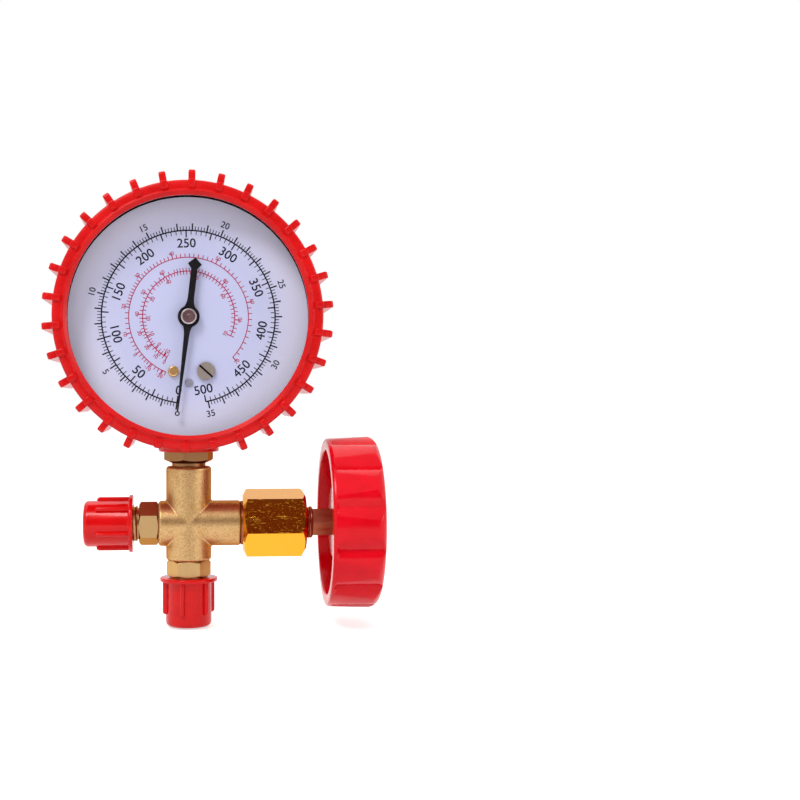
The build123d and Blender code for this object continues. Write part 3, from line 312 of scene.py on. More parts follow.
@dataclass(frozen=True)
class Moulded(Finish):
    """Moulded plastic or rubber: a deep colour, slight mottling and a fine skin.

    Args:
        colour: The colour in the light.
        deep: The colour where the material lies thicker.
        roughness: The skin's roughness.
        specular: How strongly the skin mirrors what is round it.
        grain: Depth of the skin's grain in millimetres.
    """

    colour: Colour = (0.8, 0.02, 0.02)
    deep: Colour = (0.6, 0.01, 0.01)
    roughness: float = 0.3
    specular: float = 0.25
    grain: float = 0.01

    def draw(self, graph: Graph) -> Wire:
        """Mottled colour, a fine grain and faint flow lines.

        Args:
            graph: The material's graph.

        Returns:
            The shader.
        """
        mottle = graph.noise(0.12, 4.0, 0.6)
        flow = graph.noise(0.5, 2.0, 0.5, (0.4, 0.4, 1.6))
        colour = graph.mix((mottle * 0.7 + flow * 0.3).step(0.3, 0.75), self.deep, self.colour)
        skin = graph.noise(6.0, 2.0) * 0.6 + graph.noise(0.8, 2.0) * 0.4
        return graph.principled(
            Base_Color=colour, Roughness=self.roughness + (flow - 0.5) * 0.12,
            Specular_IOR_Level=self.specular, IOR=1.5, Normal=graph.bump(skin, self.grain))


@dataclass(frozen=True)
class CastBrass(Finish):
    """Forged brass with a sand-blasted skin."""

    colour: Colour = (0.6, 0.39, 0.175)
    dark: Colour = (0.4, 0.235, 0.095)
    edge: Colour = (0.6, 0.2, 0.08)

    def draw(self, graph: Graph) -> Wire:
        """Grains of the blasted skin, dull in the hollows and bright on the crests.

        Args:
            graph: The material's graph.

        Returns:
            The shader.
        """
        grains = graph.noise(1.7, 3.0, 0.7)
        pits = graph.pits(2.4).step(0.0, 0.7)
        stain = graph.noise(0.25, 3.0)
        height = grains * 0.8 + pits * 0.2
        colour = graph.mix(height.step(0.36, 0.62), self.dark, self.colour)
        warm = graph.mix(stain.step(0.5, 0.9), colour, (0.42, 0.24, 0.08))
        return graph.principled(
            Base_Color=warm, Metallic=0.95, Roughness=0.44 - grains * 0.12,
            Specular_Tint=self.edge, Normal=graph.bump(height, 0.07))


@dataclass(frozen=True)
class Turned(Finish):
    """Metal turned on a lathe, with fine rings from the tool and faint stains.

    Args:
        colour: The clean metal.
        stain: The colour of handled spots.
        roughness: The mean roughness.
        about: The axis that the rings run round.
        ring: Depth of the rings in millimetres.
        scratches: How strongly scratches and specks show.
        edge: What the metal mirrors at a slant.
        shade_line: Place along the axis past which painted shade darkens the colour, as down a
            screw's slot.
        shade_colour: The colour of the painted shade.
    """

    colour: Colour = (0.8, 0.58, 0.28)
    stain: Colour = (0.5, 0.28, 0.1)
    roughness: float = 0.2
    about: Direction = Direction.Z
    ring: float = 0.004
    scratches: float = 0.2
    edge: Colour = (1.0, 1.0, 1.0)
    shade_line: float | None = None
    shade_colour: Colour = (0.015, 0.01, 0.01)

    def draw(self, graph: Graph) -> Wire:
        """Tool rings, stains, small specks and, where a place is given, painted shade past it.

        Args:
            graph: The material's graph.

        Returns:
            The shader.
        """
        turns = graph.noise(9.0, 2.0, 0.5, tuple(
            1.0 if axis == self.about.value else 0.04 for axis in range(3)))
        stains = graph.noise(0.5, 4.0, 0.65)
        specks = graph.noise(2.4, 5.0, 0.8).step(0.6, 0.72)
        spoilt = (stains.step(0.5, 0.8) * 0.5 + specks * self.scratches).step(0.0, 1.0)
        colour = graph.mix(spoilt, self.colour, self.stain)
        # Painted shade: past the given place along the axis the colour turns dark, as down a
        # screw's slot.
        if self.shade_line is not None:
            depth = graph.along(self.about).step(self.shade_line - 0.1, self.shade_line + 0.1)
            colour = graph.mix(depth, colour, self.shade_colour)
        return graph.principled(
            Base_Color=colour, Metallic=1.0, Specular_Tint=self.edge,
            Roughness=self.roughness + stains * 0.1 + specks * self.scratches * 0.3,
            Normal=graph.bump(turns * 0.7 + specks * (self.scratches * 0.3), self.ring))


@dataclass(frozen=True)
class Polished(Finish):
    """Polished brass, with dull golden specks, a worn patch and fine scratches."""

    colour: Colour = (0.88, 0.43, 0.03)
    dull: Colour = (0.8, 0.42, 0.06)
    edge: Colour = (0.95, 0.85, 1.0)

    def draw(self, graph: Graph) -> Wire:
        """Specks and scratches that scatter the light where the rest mirrors it.

        Args:
            graph: The material's graph.

        Returns:
            The shader.
        """
        specks = graph.noise(1.2, 5.0, 0.8).step(0.57, 0.66)
        patch = graph.noise(0.16, 3.0, 0.6).step(0.54, 0.68)
        scratches = graph.noise(2.2, 2.0, 0.5, (0.12, 1.0, 1.0)).step(0.62, 0.7)
        worn = (specks * (patch + 0.5) + scratches * 0.5).step(0.0, 1.2)
        return graph.principled(
            Base_Color=graph.mix(worn, self.colour, self.dull), Metallic=1.0,
            Roughness=worn * 0.55 + 0.07 + patch * 0.06, Specular_Tint=self.edge,
            Normal=graph.bump(worn, 0.01))


@dataclass(frozen=True)
class Painted(Finish):
    """Paint or ink on metal, with a fine grain."""

    colour: Colour = (0.6, 0.58, 0.74)
    deep: Colour = (0.55, 0.53, 0.7)
    roughness: float = 0.5
    grain: float = 0.004

    def cloud(self, graph: Graph) -> Wire:
        """The colour of evenly laid paint, with a faint cloud in it.

        Args:
            graph: The material's graph.

        Returns:
            The colour.
        """
        return graph.mix(graph.noise(0.08, 3.0), self.deep, self.colour)

    def draw(self, graph: Graph) -> Wire:
        """The clouded colour under a fine grain.

        Args:
            graph: The material's graph.

        Returns:
            The shader.
        """
        grain = graph.noise(7.0, 2.0)
        return graph.principled(
            Base_Color=self.cloud(graph), Specular_IOR_Level=0.2,
            Roughness=self.roughness + (grain - 0.5) * 0.1,
            Normal=graph.bump(grain, self.grain))


@dataclass(frozen=True)
class DialPaintWithEdgeLight(Painted):
    """The dial's bluish white, with painted light towards its edge that lifts the shade the walls
    round it cast there.

    Args:
        painted_edge_light: The colour of the painted light at the edge.
        middle: The dial's middle, in millimetres.
        fade: The radii between which the colour changes.
    """

    painted_edge_light: Colour = (0.89, 0.87, 1.0)
    middle: Colour = (0.0, -10.5, GAUGE_Z)
    fade: tuple[float, float] = (20.0, 38.0)

    def cloud(self, graph: Graph) -> Wire:
        """The paint's cloud, mixed with the painted light at the edge by distance from the middle.

        Args:
            graph: The material's graph.

        Returns:
            The colour.
        """
        out = graph.out(graph.node("ShaderNodeVectorMath", {"operation": "DISTANCE"}, {
            0: graph.place(), 1: self.middle}), "Value")
        # Painted light: the colour grows lighter towards the dial's edge, against the shade that
        # falls there.
        return graph.mix(out.step(*self.fade), super().cloud(graph), self.painted_edge_light)


@dataclass(frozen=True)
class ClearLens(Finish):
    """A clear window that shows what lies behind it and a faint reflection."""

    shine: float = 0.3

    def draw(self, graph: Graph) -> Wire:
        """Clear straight through, glossy at a slant.

        Args:
            graph: The material's graph.

        Returns:
            The shader.
        """
        slant = graph.out(graph.node("ShaderNodeLayerWeight", {}, {"Blend": 0.12}), "Fresnel")
        smear = graph.noise(0.15, 3.0).step(0.3, 0.9)
        clear = graph.node("ShaderNodeBsdfTransparent", {}, {"Color": (0.985, 0.985, 1.0, 1.0)})
        gloss = graph.principled(Base_Color=(0.95, 0.96, 1.0), Metallic=1.0,
                                 Roughness=0.03 + smear * 0.05)
        return graph.out(graph.node("ShaderNodeMixShader", {}, {
            0: slant * self.shine, 1: graph.out(clear), 2: gloss}))


@dataclass(frozen=True)
class StudioWhite(Finish):
    """The floor: white to the camera, but it keeps the object's shadow."""

    glow: float = 0.62

    def draw(self, graph: Graph) -> Wire:
        """Adds plain white light to the floor for what looks at it.

        Args:
            graph: The material's graph.

        Returns:
            The shader.
        """
        matt = graph.out(graph.node("ShaderNodeBsdfDiffuse", {}, {"Color": (0.8, 0.8, 0.8, 1.0)}))
        white = graph.out(graph.node("ShaderNodeEmission", {}, {
            "Color": (1.0, 1.0, 1.0, 1.0), "Strength": self.glow}))
        lit = graph.out(graph.node("ShaderNodeAddShader", {}, {0: matt, 1: white}))
        return graph.out(graph.node("ShaderNodeMixShader", {}, {
            0: graph.seen(), 1: matt, 2: lit}))


RED_RUBBER = Moulded("red_rubber", (0.78, 0.004, 0.005), (0.62, 0.001, 0.002), 0.3, 0.24, 0.012)
RED_PLASTIC = Moulded("red_plastic", (0.84, 0.002, 0.014), (0.72, 0.0, 0.008), 0.17, 0.2, 0.004)
CAP_PLASTIC = Moulded("cap_plastic", (0.8, 0.004, 0.005), (0.68, 0.002, 0.003), 0.17, 0.25, 0.004)
SAND_BRASS = CastBrass("sand_brass")
PORT_BRASS = Turned("port_brass", (0.55, 0.36, 0.16), (0.36, 0.17, 0.06), 0.3, Direction.Z, 0.005,
                    0.35, (0.85, 0.45, 0.25))
SIDE_BRASS = Turned("side_brass", (0.43, 0.28, 0.125), (0.36, 0.17, 0.06), 0.3, Direction.X, 0.005,
                    0.35, (0.85, 0.45, 0.25))
SOCKET_BRASS = Turned("socket_brass", (0.28, 0.14, 0.06), (0.12, 0.05, 0.02), 0.3, Direction.Z,
                      0.008, 0.7, (0.7, 0.3, 0.15))
BONNET_BRASS = Polished("bonnet_brass")
STEM_BRASS = Turned("stem_brass", (0.36, 0.14, 0.075), (0.12, 0.035, 0.015), 0.32, Direction.X,
                    0.008, 0.6, (0.7, 0.3, 0.2))
SCREW_BRASS = Turned("screw_brass", (0.75, 0.5, 0.2), (0.4, 0.22, 0.08), 0.25, Direction.Y)
MOVEMENT_BRASS = Turned("movement_brass", (0.8, 0.62, 0.3), (0.6, 0.42, 0.18), 0.3, Direction.Y)
TUBE_BRONZE = Turned("tube_bronze", (0.7, 0.42, 0.24), (0.5, 0.26, 0.12), 0.25, Direction.Y)
BRIGHT_STEEL = Turned("bright_steel", (0.62, 0.62, 0.64), (0.42, 0.42, 0.44), 0.28, Direction.Y)
# Painted shade: the calibration screw turns dark past its front face, down its slot.
SLOTTED_STEEL = Turned("slotted_steel", (0.44, 0.4, 0.34), (0.28, 0.24, 0.19), 0.34, Direction.Y,
                       0.006, 0.4, shade_line=-11.35)
SCREW_STEEL = Turned("screw_steel", (0.44, 0.4, 0.34), (0.28, 0.24, 0.19), 0.38, Direction.Y,
                     0.006, 0.4)
SET_STEEL = Turned("set_steel", (0.36, 0.36, 0.43), (0.26, 0.26, 0.31), 0.4, Direction.Y)
WHEEL_STEEL = Turned("wheel_steel", (0.6, 0.6, 0.62), (0.4, 0.4, 0.42), 0.25, Direction.X)
# Painted shade: the pointer cap turns darker behind its front face, in its dimple and round its
# sides.
HUB_METAL = Turned("hub_metal", (0.66, 0.6, 0.6), (0.5, 0.44, 0.44), 0.3, Direction.Y, 0.006,
                   shade_line=-13.5, shade_colour=(0.25, 0.16, 0.16))
CASE_PAINT = Painted("case_paint", (0.02, 0.012, 0.013), (0.03, 0.014, 0.015), 0.4, 0.01)
# The dial's paint, with painted light towards its edge.
DIAL_PAINT_WITH_EDGE_LIGHT = DialPaintWithEdgeLight("dial_paint", (0.655, 0.675, 0.9), (0.635, 0.655, 0.88), 0.5, 0.002)
BLACK_INK = Painted("black_ink", (0.008, 0.008, 0.012), (0.012, 0.012, 0.02), 0.5, 0.002)
RED_INK = Painted("red_ink", (0.46, 0.001, 0.05), (0.5, 0.002, 0.06), 0.5, 0.002)
BLACK_ENAMEL = Painted("black_enamel", (0.008, 0.008, 0.01), (0.014, 0.014, 0.016), 0.32, 0.004)
BLACK_SEAL = Painted("black_seal", (0.015, 0.015, 0.016), (0.025, 0.025, 0.026), 0.6, 0.01)
WHITE_SEAL = Painted("white_seal", (0.75, 0.74, 0.7), (0.7, 0.69, 0.65), 0.4, 0.004)
CLEAR_LENS = ClearLens("clear_lens")


# Meshes: everything is drafted in millimetres

@dataclass(frozen=True)
class Spindle:
    """An axis to build round: places are given along it, round it and out from it."""

    origin: Vector
    axis: Vector
    side: Vector

    def point(self, along: float, angle: float, radius: float) -> Vector:
        """A place near the axis.

        Args:
            along: Its distance along the axis.
            angle: Its angle round it, in degrees.
            radius: Its distance from it.

        Returns:
            The place.
        """
        turn = math.radians(angle)
        third = self.axis.cross(self.side)
        out = self.side * math.cos(turn) + third * math.sin(turn)
        return self.origin + self.axis * along + out * radius


FORWARD = Spindle(Vector((0, 0, GAUGE_Z)), Vector((0, -1, 0)), Vector((1, 0, 0)))
VALVE = Spindle(Vector((0, 0, VALVE_Z)), Vector((1, 0, 0)), Vector((0, -1, 0)))
SIDE_PORT = Spindle(Vector((-9.5, 0, VALVE_Z)), Vector((-1, 0, 0)), Vector((0, -1, 0)))
HOSE_PORT = Spindle(Vector((0, 0, VALVE_Z - 11.6)), Vector((0, 0, -1)), Vector((1, 0, 0)))


@dataclass
class Draft:
    """Corners and faces in millimetres, made into one piece in metres."""

    corners: list[Vector] = field(default_factory=list)
    faces: list[tuple[int, ...]] = field(default_factory=list)

    def spin(self, spindle: Spindle, rows: list[tuple[float, Radius]], steps: int,
             start: float = 0.0, closed: bool = True) -> None:
        """Adds a turned skin whose radius may change with the angle.

        Args:
            spindle: The axis.
            rows: Distance along the axis and radius, or radius by angle, of each ring.
            steps: Corners in a ring.
            start: Angle of the first corner.
            closed: Whether the last ring joins the first.
        """
        base = len(self.corners)
        for along, radius in rows:
            for step in range(steps):
                angle = start + 360 * step / steps
                reach = radius(angle) if callable(radius) else radius
                self.corners.append(spindle.point(along, angle, reach))
        count = len(rows)
        for row in range(count if closed else count - 1):
            for step in range(steps):
                here, there = base + row * steps, base + (row + 1) % count * steps
                after = (step + 1) % steps
                self.faces.append((here + step, here + after, there + after, there + step))

    def prism(self, outline: list[Vector], rise: Vector) -> None:
        """Adds a closed prism.

        Args:
            outline: The corners of its flat base.
            rise: How its top lies from its base.
        """
        base, count = len(self.corners), len(outline)
        self.corners += outline + [corner + rise for corner in outline]
        self.faces.append(tuple(range(base + count - 1, base - 1, -1)))
        self.faces.append(tuple(range(base + count, base + 2 * count)))
        for index in range(count):
            after = (index + 1) % count
            self.faces.append((base + index, base + after, base + count + after,
                               base + count + index))

    def rib(self, spindle: Spindle, angle: float, span: tuple[float, float],
            height: tuple[float, float], width: float, rounding: float) -> None:
        """Adds a rib that runs along a turned part, rounded on its crest and at its ends.

        Args:
            spindle: The part's axis.
            angle: The rib's place round it.
            span: Where the rib starts and ends along the axis.
            height: Radius of its root and of its crest.
            width: Its width.
            rounding: The radius of its ends; its edges have half of it at most.
        """
        out = spindle.point(0, angle, 1.0) - spindle.origin
        across = spindle.axis.cross(out)
        edge = min(rounding / 2, width / 2 - LEAST_CREST)
        rings = []
        for step in range(-END_STEPS, END_STEPS + 2):
            part = min(abs(step - 0.5) - 0.5, END_STEPS) / END_STEPS * math.pi / 2
            sign = 1 if step > 0 else -1
            middle = span[1] - rounding if sign > 0 else span[0] + rounding
            rings.append((middle + sign * rounding * math.sin(part),
                          height[1] - rounding * (1 - math.cos(part))))
        base = len(self.corners)
        for along, crest in rings:
            flat = width / 2 - edge
            shape = [(-width / 2, height[0])]
            shape += [(-flat - edge * math.cos(turn), crest - edge + edge * math.sin(turn))
                      for turn in EDGE_TURNS]
            shape += [(flat + edge * math.cos(turn), crest - edge + edge * math.sin(turn))
                      for turn in reversed(EDGE_TURNS)]
            shape += [(width / 2, height[0])]
            for side, reach in shape:
                self.corners.append(spindle.origin + spindle.axis * along + across * side
                                    + out * reach)
        count = len(shape)
        for ring in range(len(rings) - 1):
            for index in range(count):
                here, after = base + ring * count + index, base + ring * count + (index + 1) % count
                self.faces.append((here, after, after + count, here + count))
        last = base + (len(rings) - 1) * count
        self.faces.append(tuple(range(base, base + count)))
        self.faces.append(tuple(range(last + count - 1, last - 1, -1)))

    def block(self, centre: Vector, axes: tuple[Vector, Vector, Vector],
              sizes: tuple[float, float, float], rounding: float) -> None:
        """Adds a block with rounded edges.

        Args:
            centre: Its middle.
            axes: Its three directions.
            sizes: Its size along each.
            rounding: The radius of its edges.
        """
        mesh = bmesh.new()
        bmesh.ops.create_cube(mesh, size=1.0)
        for vert in mesh.verts:
            vert.co = Vector(part * size for part, size in zip(vert.co, sizes))
        bmesh.ops.bevel(mesh, geom=list(mesh.edges), offset=rounding, segments=3, profile=0.5,
                        affect="EDGES", clamp_overlap=True)
        mesh.verts.index_update()
        base = len(self.corners)
        for vert in mesh.verts:
            self.corners.append(centre + sum((axis * part for axis, part in zip(axes, vert.co)),
                                             Vector()))
        for face in mesh.faces:
            self.faces.append(tuple(base + vert.index for vert in face.verts))
        mesh.free()

    def piece(self, name: str, finish: Finish, body: Body, slot: str,
              sharp: float = 35.0) -> bpy.types.Object:
        """Makes the draft into a piece that rides on a body.

        Args:
            name: The piece's name.
            finish: What it is finished with.
            body: The body that carries it.
            slot: The record's material slot; not used.
            sharp: Edges that turn further than this many degrees stay sharp.

        Returns:
            The piece.
        """
        mesh = bpy.data.meshes.new(name)
        mesh.from_pydata([corner * MM for corner in self.corners], [], self.faces)
        work = bmesh.new()
        work.from_mesh(mesh)
        bmesh.ops.remove_doubles(work, verts=work.verts, dist=WELD)
        bmesh.ops.dissolve_degenerate(work, dist=WELD / 10, edges=work.edges)
        bmesh.ops.recalc_face_normals(work, faces=work.faces)
        for face in work.faces:
            face.smooth = True
        for edge in work.edges:
            edge.smooth = edge.calc_face_angle(0.0) < math.radians(sharp)
        work.to_mesh(mesh)
        work.free()
        mesh.materials.append(finish.material())
        made = bpy.data.objects.new(name, mesh)
        bpy.context.scene.collection.objects.link(made)
        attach(made, body.value)
        LOG.info("%s: %d faces on %s", name, len(mesh.polygons), body.value)
        return made


def hexagon(across_flats: float, vertex: float) -> Callable[[float], float]:
    """The radius of a hexagon by angle.

    Args:
        across_flats: Its size across flats.
        vertex: The angle of one of its corners.

    Returns:
        The radius function.
    """
    def radius(angle: float) -> float:
        """The radius at an angle."""
        off = (angle - vertex) % 60 - 30
        return across_flats / 2 / math.cos(math.radians(off))
    return radius


def under(first: Radius, second: Radius) -> Callable[[float], float]:
    """The smaller of two radii by angle.

    Args:
        first: A radius, or a radius by angle.
        second: Another.

    Returns:
        The radius function.
    """
    def radius(angle: float) -> float:
        """The radius at an angle."""
        return min(item(angle) if callable(item) else item for item in (first, second))
    return radius


def fillet(centre: tuple[float, float], radius: float, start: float, end: float,
           steps: int) -> list[tuple[float, float]]:
    """Places along a rounded edge of a turned profile.

    Args:
        centre: The rounding's middle, along the axis and out from it.
        radius: Its radius.
        start: Angle of the first place, 0 along the axis and 90 outward.
        end: Angle of the last place.
        steps: Spaces between places.

    Returns:
        The places, along and out.
    """
    places = []
    for step in range(steps + 1):
        turn = math.radians(start + (end - start) * step / steps)
        places.append((centre[0] + radius * math.cos(turn), centre[1] + radius * math.sin(turn)))
    return places


@dataclass(frozen=True)
class Thread:
    """A right-hand V thread, cut into a cylinder.

    Args:
        major: Radius over the crests.
        pitch: Distance between crests.
        depth: Depth of the grooves.
        crest: Share of the pitch that stays flat on a crest.
        rows_per_turn: Rings of corners in one turn.
    """

    major: float
    pitch: float
    depth: float
    crest: float = 0.14
    rows_per_turn: int = 10

    def rows(self, start: float, end: float) -> list[tuple[float, Radius]]:
        """The rings of the threaded length, with the groove running out at both ends.

        Args:
            start: Where the thread starts along the axis.
            end: Where it ends.

        Returns:
            Rings for Draft.spin.
        """
        count = int((end - start) / self.pitch * self.rows_per_turn)
        rows: list[tuple[float, Radius]] = []
        for index in range(count + 1):
            along = start + (end - start) * index / count
            taper = min(1.0, (along - start) / self.pitch, (end - along) / self.pitch)
            rows.append((along, self._radius(along, max(taper, 0.0))))
        return rows

    def _radius(self, along: float, taper: float) -> Callable[[float], float]:
        """The radius by angle of the ring at one place.

        Args:
            along: The place along the axis.
            taper: How much of the groove's depth is cut there.

        Returns:
            The radius function.
        """
        def radius(angle: float) -> float:
            """The radius at an angle."""
            turn = (along / self.pitch - angle / 360) % 1.0
            groove = (1 - abs(2 * turn - 1) - self.crest) / (1 - 2 * self.crest)
            return self.major - self.depth * min(max(groove, 0.0), 1.0) * taper
        return radius


# Sub-assemblies

@dataclass
class FlareFitting:
    """A port's fitting: hexagon, flare thread, neck and cone, with its passage.

    The nose gives distance past the thread and radius, and the slope is the bevel's.
    """

    name: str
    port: Spindle
    finish: Finish
    hex_length: float
    vertex: float
    across_flats: float = 12.0
    spigot: float = 5.8
    spigot_radius: float = 4.6
    bore: float = 2.4
    neck: float = 0.5
    run_in: float = 0.1
    thread_length: float = 11.0
    thread: Thread = Thread(5.555, 1.27, 0.62)
    nose: tuple[tuple[float, float], ...] = ((0.0, 4.7), (1.2, 4.7), (3.3, 2.9), (3.3, 2.4))
    slope: float = math.tan(math.radians(30))
    bevel_steps: int = 6
    steps: int = 120

    def build(self) -> None:
        """Builds the fitting in place of its plain solid."""
        flats, half = hexagon(self.across_flats, self.vertex), self.across_flats / 2
        tall = (self.across_flats / math.sqrt(3) - half) * self.slope
        rises = [tall * index / self.bevel_steps for index in range(self.bevel_steps + 1)]
        rows: list[tuple[float, Radius]] = [
            (-self.spigot, self.bore), (-self.spigot, self.spigot_radius),
            (0, self.spigot_radius)]
        rows += [(rise, under(flats, half + rise / self.slope)) for rise in rises]
        rows += [(self.hex_length - rise, under(flats, half + rise / self.slope))
                 for rise in reversed(rises)]
        root = self.thread.major - self.thread.depth
        neck_end = self.hex_length + self.neck
        thread_end = self.hex_length + self.thread_length
        rows += [(self.hex_length, root), (neck_end, root)]
        rows += self.thread.rows(neck_end + self.run_in, thread_end)
        rows += [(thread_end + along, radius) for along, radius in self.nose]
        draft = Draft()
        draft.spin(self.port, rows, self.steps, self.vertex)
        made = draft.piece(f"{self.name}_threaded", self.finish, Body.CASE, "bright_brass")
        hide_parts(self.name)


@dataclass
class DustCap:
    """A moulded cap with a flange and ribs, and a shallow gate mark in its end."""

    name: str
    port: Spindle
    body: Body
    start: float
    rib_turn: float
    length: float = 15.3
    radius: float = 7.2
    bore: float = 5.805
    bore_corner: float = 0.6
    mouth: float = 0.3
    end: float = 1.2
    end_round: float = 1.4
    gate: float = 2.2
    gate_floor: float = 1.9
    gate_depth: float = 0.15
    flange_radius: float = 9.05
    flange: float = 1.2
    flange_round: float = 0.3
    root_round: float = 0.4
    rib_root: float = 6.3
    rib_radius: float = 8.4
    rib_length: float = 10.8
    rib_width: float = 1.2
    rib_round: float = 0.9
    ribs: int = 6
    steps: int = 96

    def build(self) -> None:
        """Builds the shell and its ribs in place of the plain cap."""
        far, flange_end = self.start + self.length, self.start + self.flange
        brim, lip = self.flange_radius - self.flange_round, self.flange_round
        root, shoulder = self.root_round, self.end_round
        rows = [(self.start, self.bore + self.mouth), (self.start, brim)]
        rows += fillet((self.start + lip, brim), lip, 180, 90, 3)
        rows += fillet((flange_end - lip, brim), lip, 90, 0, 3)
        rows += fillet((flange_end + root, self.radius + root), root, 180, 270, 3)
        rows += fillet((far - shoulder, self.radius - shoulder), shoulder, 90, 0, 6)
        rows += [(far, self.gate), (far - self.gate_depth, self.gate_floor),
                 (far - self.gate_depth, 0.0)]
        inside = far - self.end
        rows += [(inside, 0.0), (inside, self.bore - self.bore_corner),
                 (inside - self.bore_corner, self.bore), (self.start + self.mouth, self.bore)]
        draft = Draft()
        draft.spin(self.port, rows, self.steps)
        rib_start = self.start + self.flange / 2
        for index in range(self.ribs):
            draft.rib(self.port, self.rib_turn + index * 360 / self.ribs,
                      (rib_start, rib_start + self.rib_length), (self.rib_root, self.rib_radius),
                      self.rib_width, self.rib_round)
        made = draft.piece(f"{self.name}_moulded", CAP_PLASTIC, self.body, "red_plastic")
        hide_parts(self.name)


@dataclass
class Handwheel:
    """The lobed handwheel: a cup with a hub, open to the valve."""

    start: float = 43.3
    length: float = 16.3
    front_radius: float = 26.6
    back_radius: float = 27.3
    inner: float = 22.9
    web: float = 3.4
    back_round: float = 3.6
    lip_round: float = 0.8
    hub: float = 11.1
    hub_set_in: float = 2.2
    recess: float = 6.2
    recess_depth: float = 2.9
    square: float = 6.3
    fit: float = 0.05
    lobes: int = 12
    valley: float = 14.5
    lobe_centre: float = 18.38
    lobe_radius: float = 8.92
    rim: float = 0.9
    lobe_end: float = 17.0
    lobe_fade: float = 0.7
    small_round: float = 0.4
    inner_lip: float = 0.5
    floor_round: float = 0.6
    dished_from: float = 14.0
    rim_rows: int = 32
    steps: int = 288

    def _slant(self, along: float) -> float:
        """The outer radius without lobes, by distance from the open edge."""
        return self.front_radius + (self.back_radius - self.front_radius) * along / self.length

    def _hole(self, angle: float) -> float:
        """The radius of the square hole by angle, with a corner to the front."""
        return (self.square / 2 + self.fit) / math.cos(math.radians(angle % 90 - 45))

    def _outer(self, along: float, plain: float) -> Callable[[float], float]:
        """The radius by angle: twelve round lobes, cut off by the plain profile.

        Args:
            along: Distance from the open edge.
            plain: The radius without waves.

        Returns:
            The radius function.
        """
        ramp = min(max((along - self.rim) / self.lobe_fade, 0.0),
                   max((self.lobe_end - along) / self.lobe_fade, 0.0), 1.0)
        ramp = ramp * ramp * (3 - 2 * ramp)
        slant = self._slant(along)

        def radius(angle: float) -> float:
            """The radius at an angle."""
            pitch = 360 / self.lobes
            off = math.radians((angle - self.valley) % pitch - pitch / 2)
            lobe = self.lobe_centre * math.cos(off) + math.sqrt(
                self.lobe_radius ** 2 - (self.lobe_centre * math.sin(off)) ** 2)
            return min(plain, slant - ramp * max(slant - lobe, 0.0))
        return radius

    def build(self) -> None:
        """Builds the wheel in place of its plain solid."""
        begin, end = self.start, self.start + self.length
        floor, hub = end - self.web, begin + self.hub_set_in
        lip, back, edge = self.lip_round, self.back_round, self.inner_lip
        small, soft = self.small_round, self.floor_round
        rows: list[tuple[float, Radius]] = [(hub, self._hole)]
        rows += fillet((hub + small, self.hub - small), small, 180, 90, 3)
        rows += fillet((floor - soft, self.hub + soft), soft, 270, 360, 4)
        rows += fillet((floor - soft, self.inner - soft), soft, 0, 90, 4)
        rows += fillet((begin + edge, self.inner + edge), edge, 270, 180, 4)
        rows += fillet((begin + lip, self.front_radius - lip), lip, 180, 90, 4)
        for index in range(self.rim_rows):
            along = self.rim + (self.length - back - self.rim) * index / self.rim_rows
            rows.append((begin + along, self._outer(along, self._slant(along))))
        for along, radius in fillet((end - back, self.back_radius - back), back, 90, 0, 16):
            rows.append((along, self._outer(along - begin, radius)))
        rows.append((end, self.dished_from))
        rows += fillet((end - small, self.recess + small), small, 0, -90, 3)
        rows += [(end - self.recess_depth, self.recess), (end - self.recess_depth, self._hole)]
        draft = Draft()
        draft.spin(VALVE, rows, self.steps, self.valley)
        made = draft.piece("handwheel_moulded", RED_PLASTIC, Body.STEM, "red_plastic", 40.0)
        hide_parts("handwheel")


@dataclass
class Stem:
    """The stem: head, gland with two ring grooves, coarse thread and square shank."""

    start: float = 3.2
    head: float = 3.0
    gland: float = 3.85
    head_length: float = 5.0
    grooves: tuple[float, ...] = (12.7, 16.7)
    groove: float = 2.15
    groove_width: float = 2.0
    socket: float = 1.25
    socket_depth: float = 2.0
    screw_hole: float = 2.02
    screw_depth: float = 10.95
    thread: Thread = Thread(5.05, 1.5, 0.72, 0.12)
    thread_start: float = 28.0
    lead: float = 0.5
    lead_radius: float = 4.9
    shoulder: float = 4.7
    square_start: float = 39.1
    square: float = 6.3
    square_cut: float = 0.25
    end: float = 56.65
    end_radius: float = 2.9
    end_bevel: float = 0.4
    steps: int = 120

    def _shank(self, angle: float) -> float:
        """The radius of the square shank by angle, with a corner to the front."""
        off = angle % 90 - 45
        return min(self.square / 2 / math.cos(math.radians(off)),
                   self.square / math.sqrt(2) - self.square_cut)

    def build(self) -> None:
        """Builds the stem in place of its plain solid."""
        socket_floor, head_end = self.start + self.socket_depth, self.start + self.head_length
        rows: list[tuple[float, Radius]] = [
            (socket_floor, 0.0), (socket_floor, self.socket), (self.start, self.socket),
            (self.start, self.head), (head_end, self.head), (head_end, self.gland)]
        for place in self.grooves:
            far = place + self.groove_width
            rows += [(place, self.gland), (place, self.groove), (far, self.groove),
                     (far, self.gland)]
        rows += [(self.thread_start - self.lead, self.gland),
                 (self.thread_start, self.lead_radius)]
        rows += self.thread.rows(self.thread_start, self.square_start - self.end_bevel)
        rows += [(self.square_start, self.shoulder), (self.square_start, self._shank)]
        hole_floor = self.end - self.screw_depth
        rows += [(self.end - self.end_bevel, self._shank), (self.end, self.end_radius),
                 (self.end, self.screw_hole), (hole_floor, self.screw_hole), (hole_floor, 0.0)]
        draft = Draft()
        draft.spin(VALVE, rows, self.steps, closed=False)
        made = draft.piece("valve_stem_threaded", STEM_BRASS, Body.STEM, "coppery_brass")
        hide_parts("valve_stem")


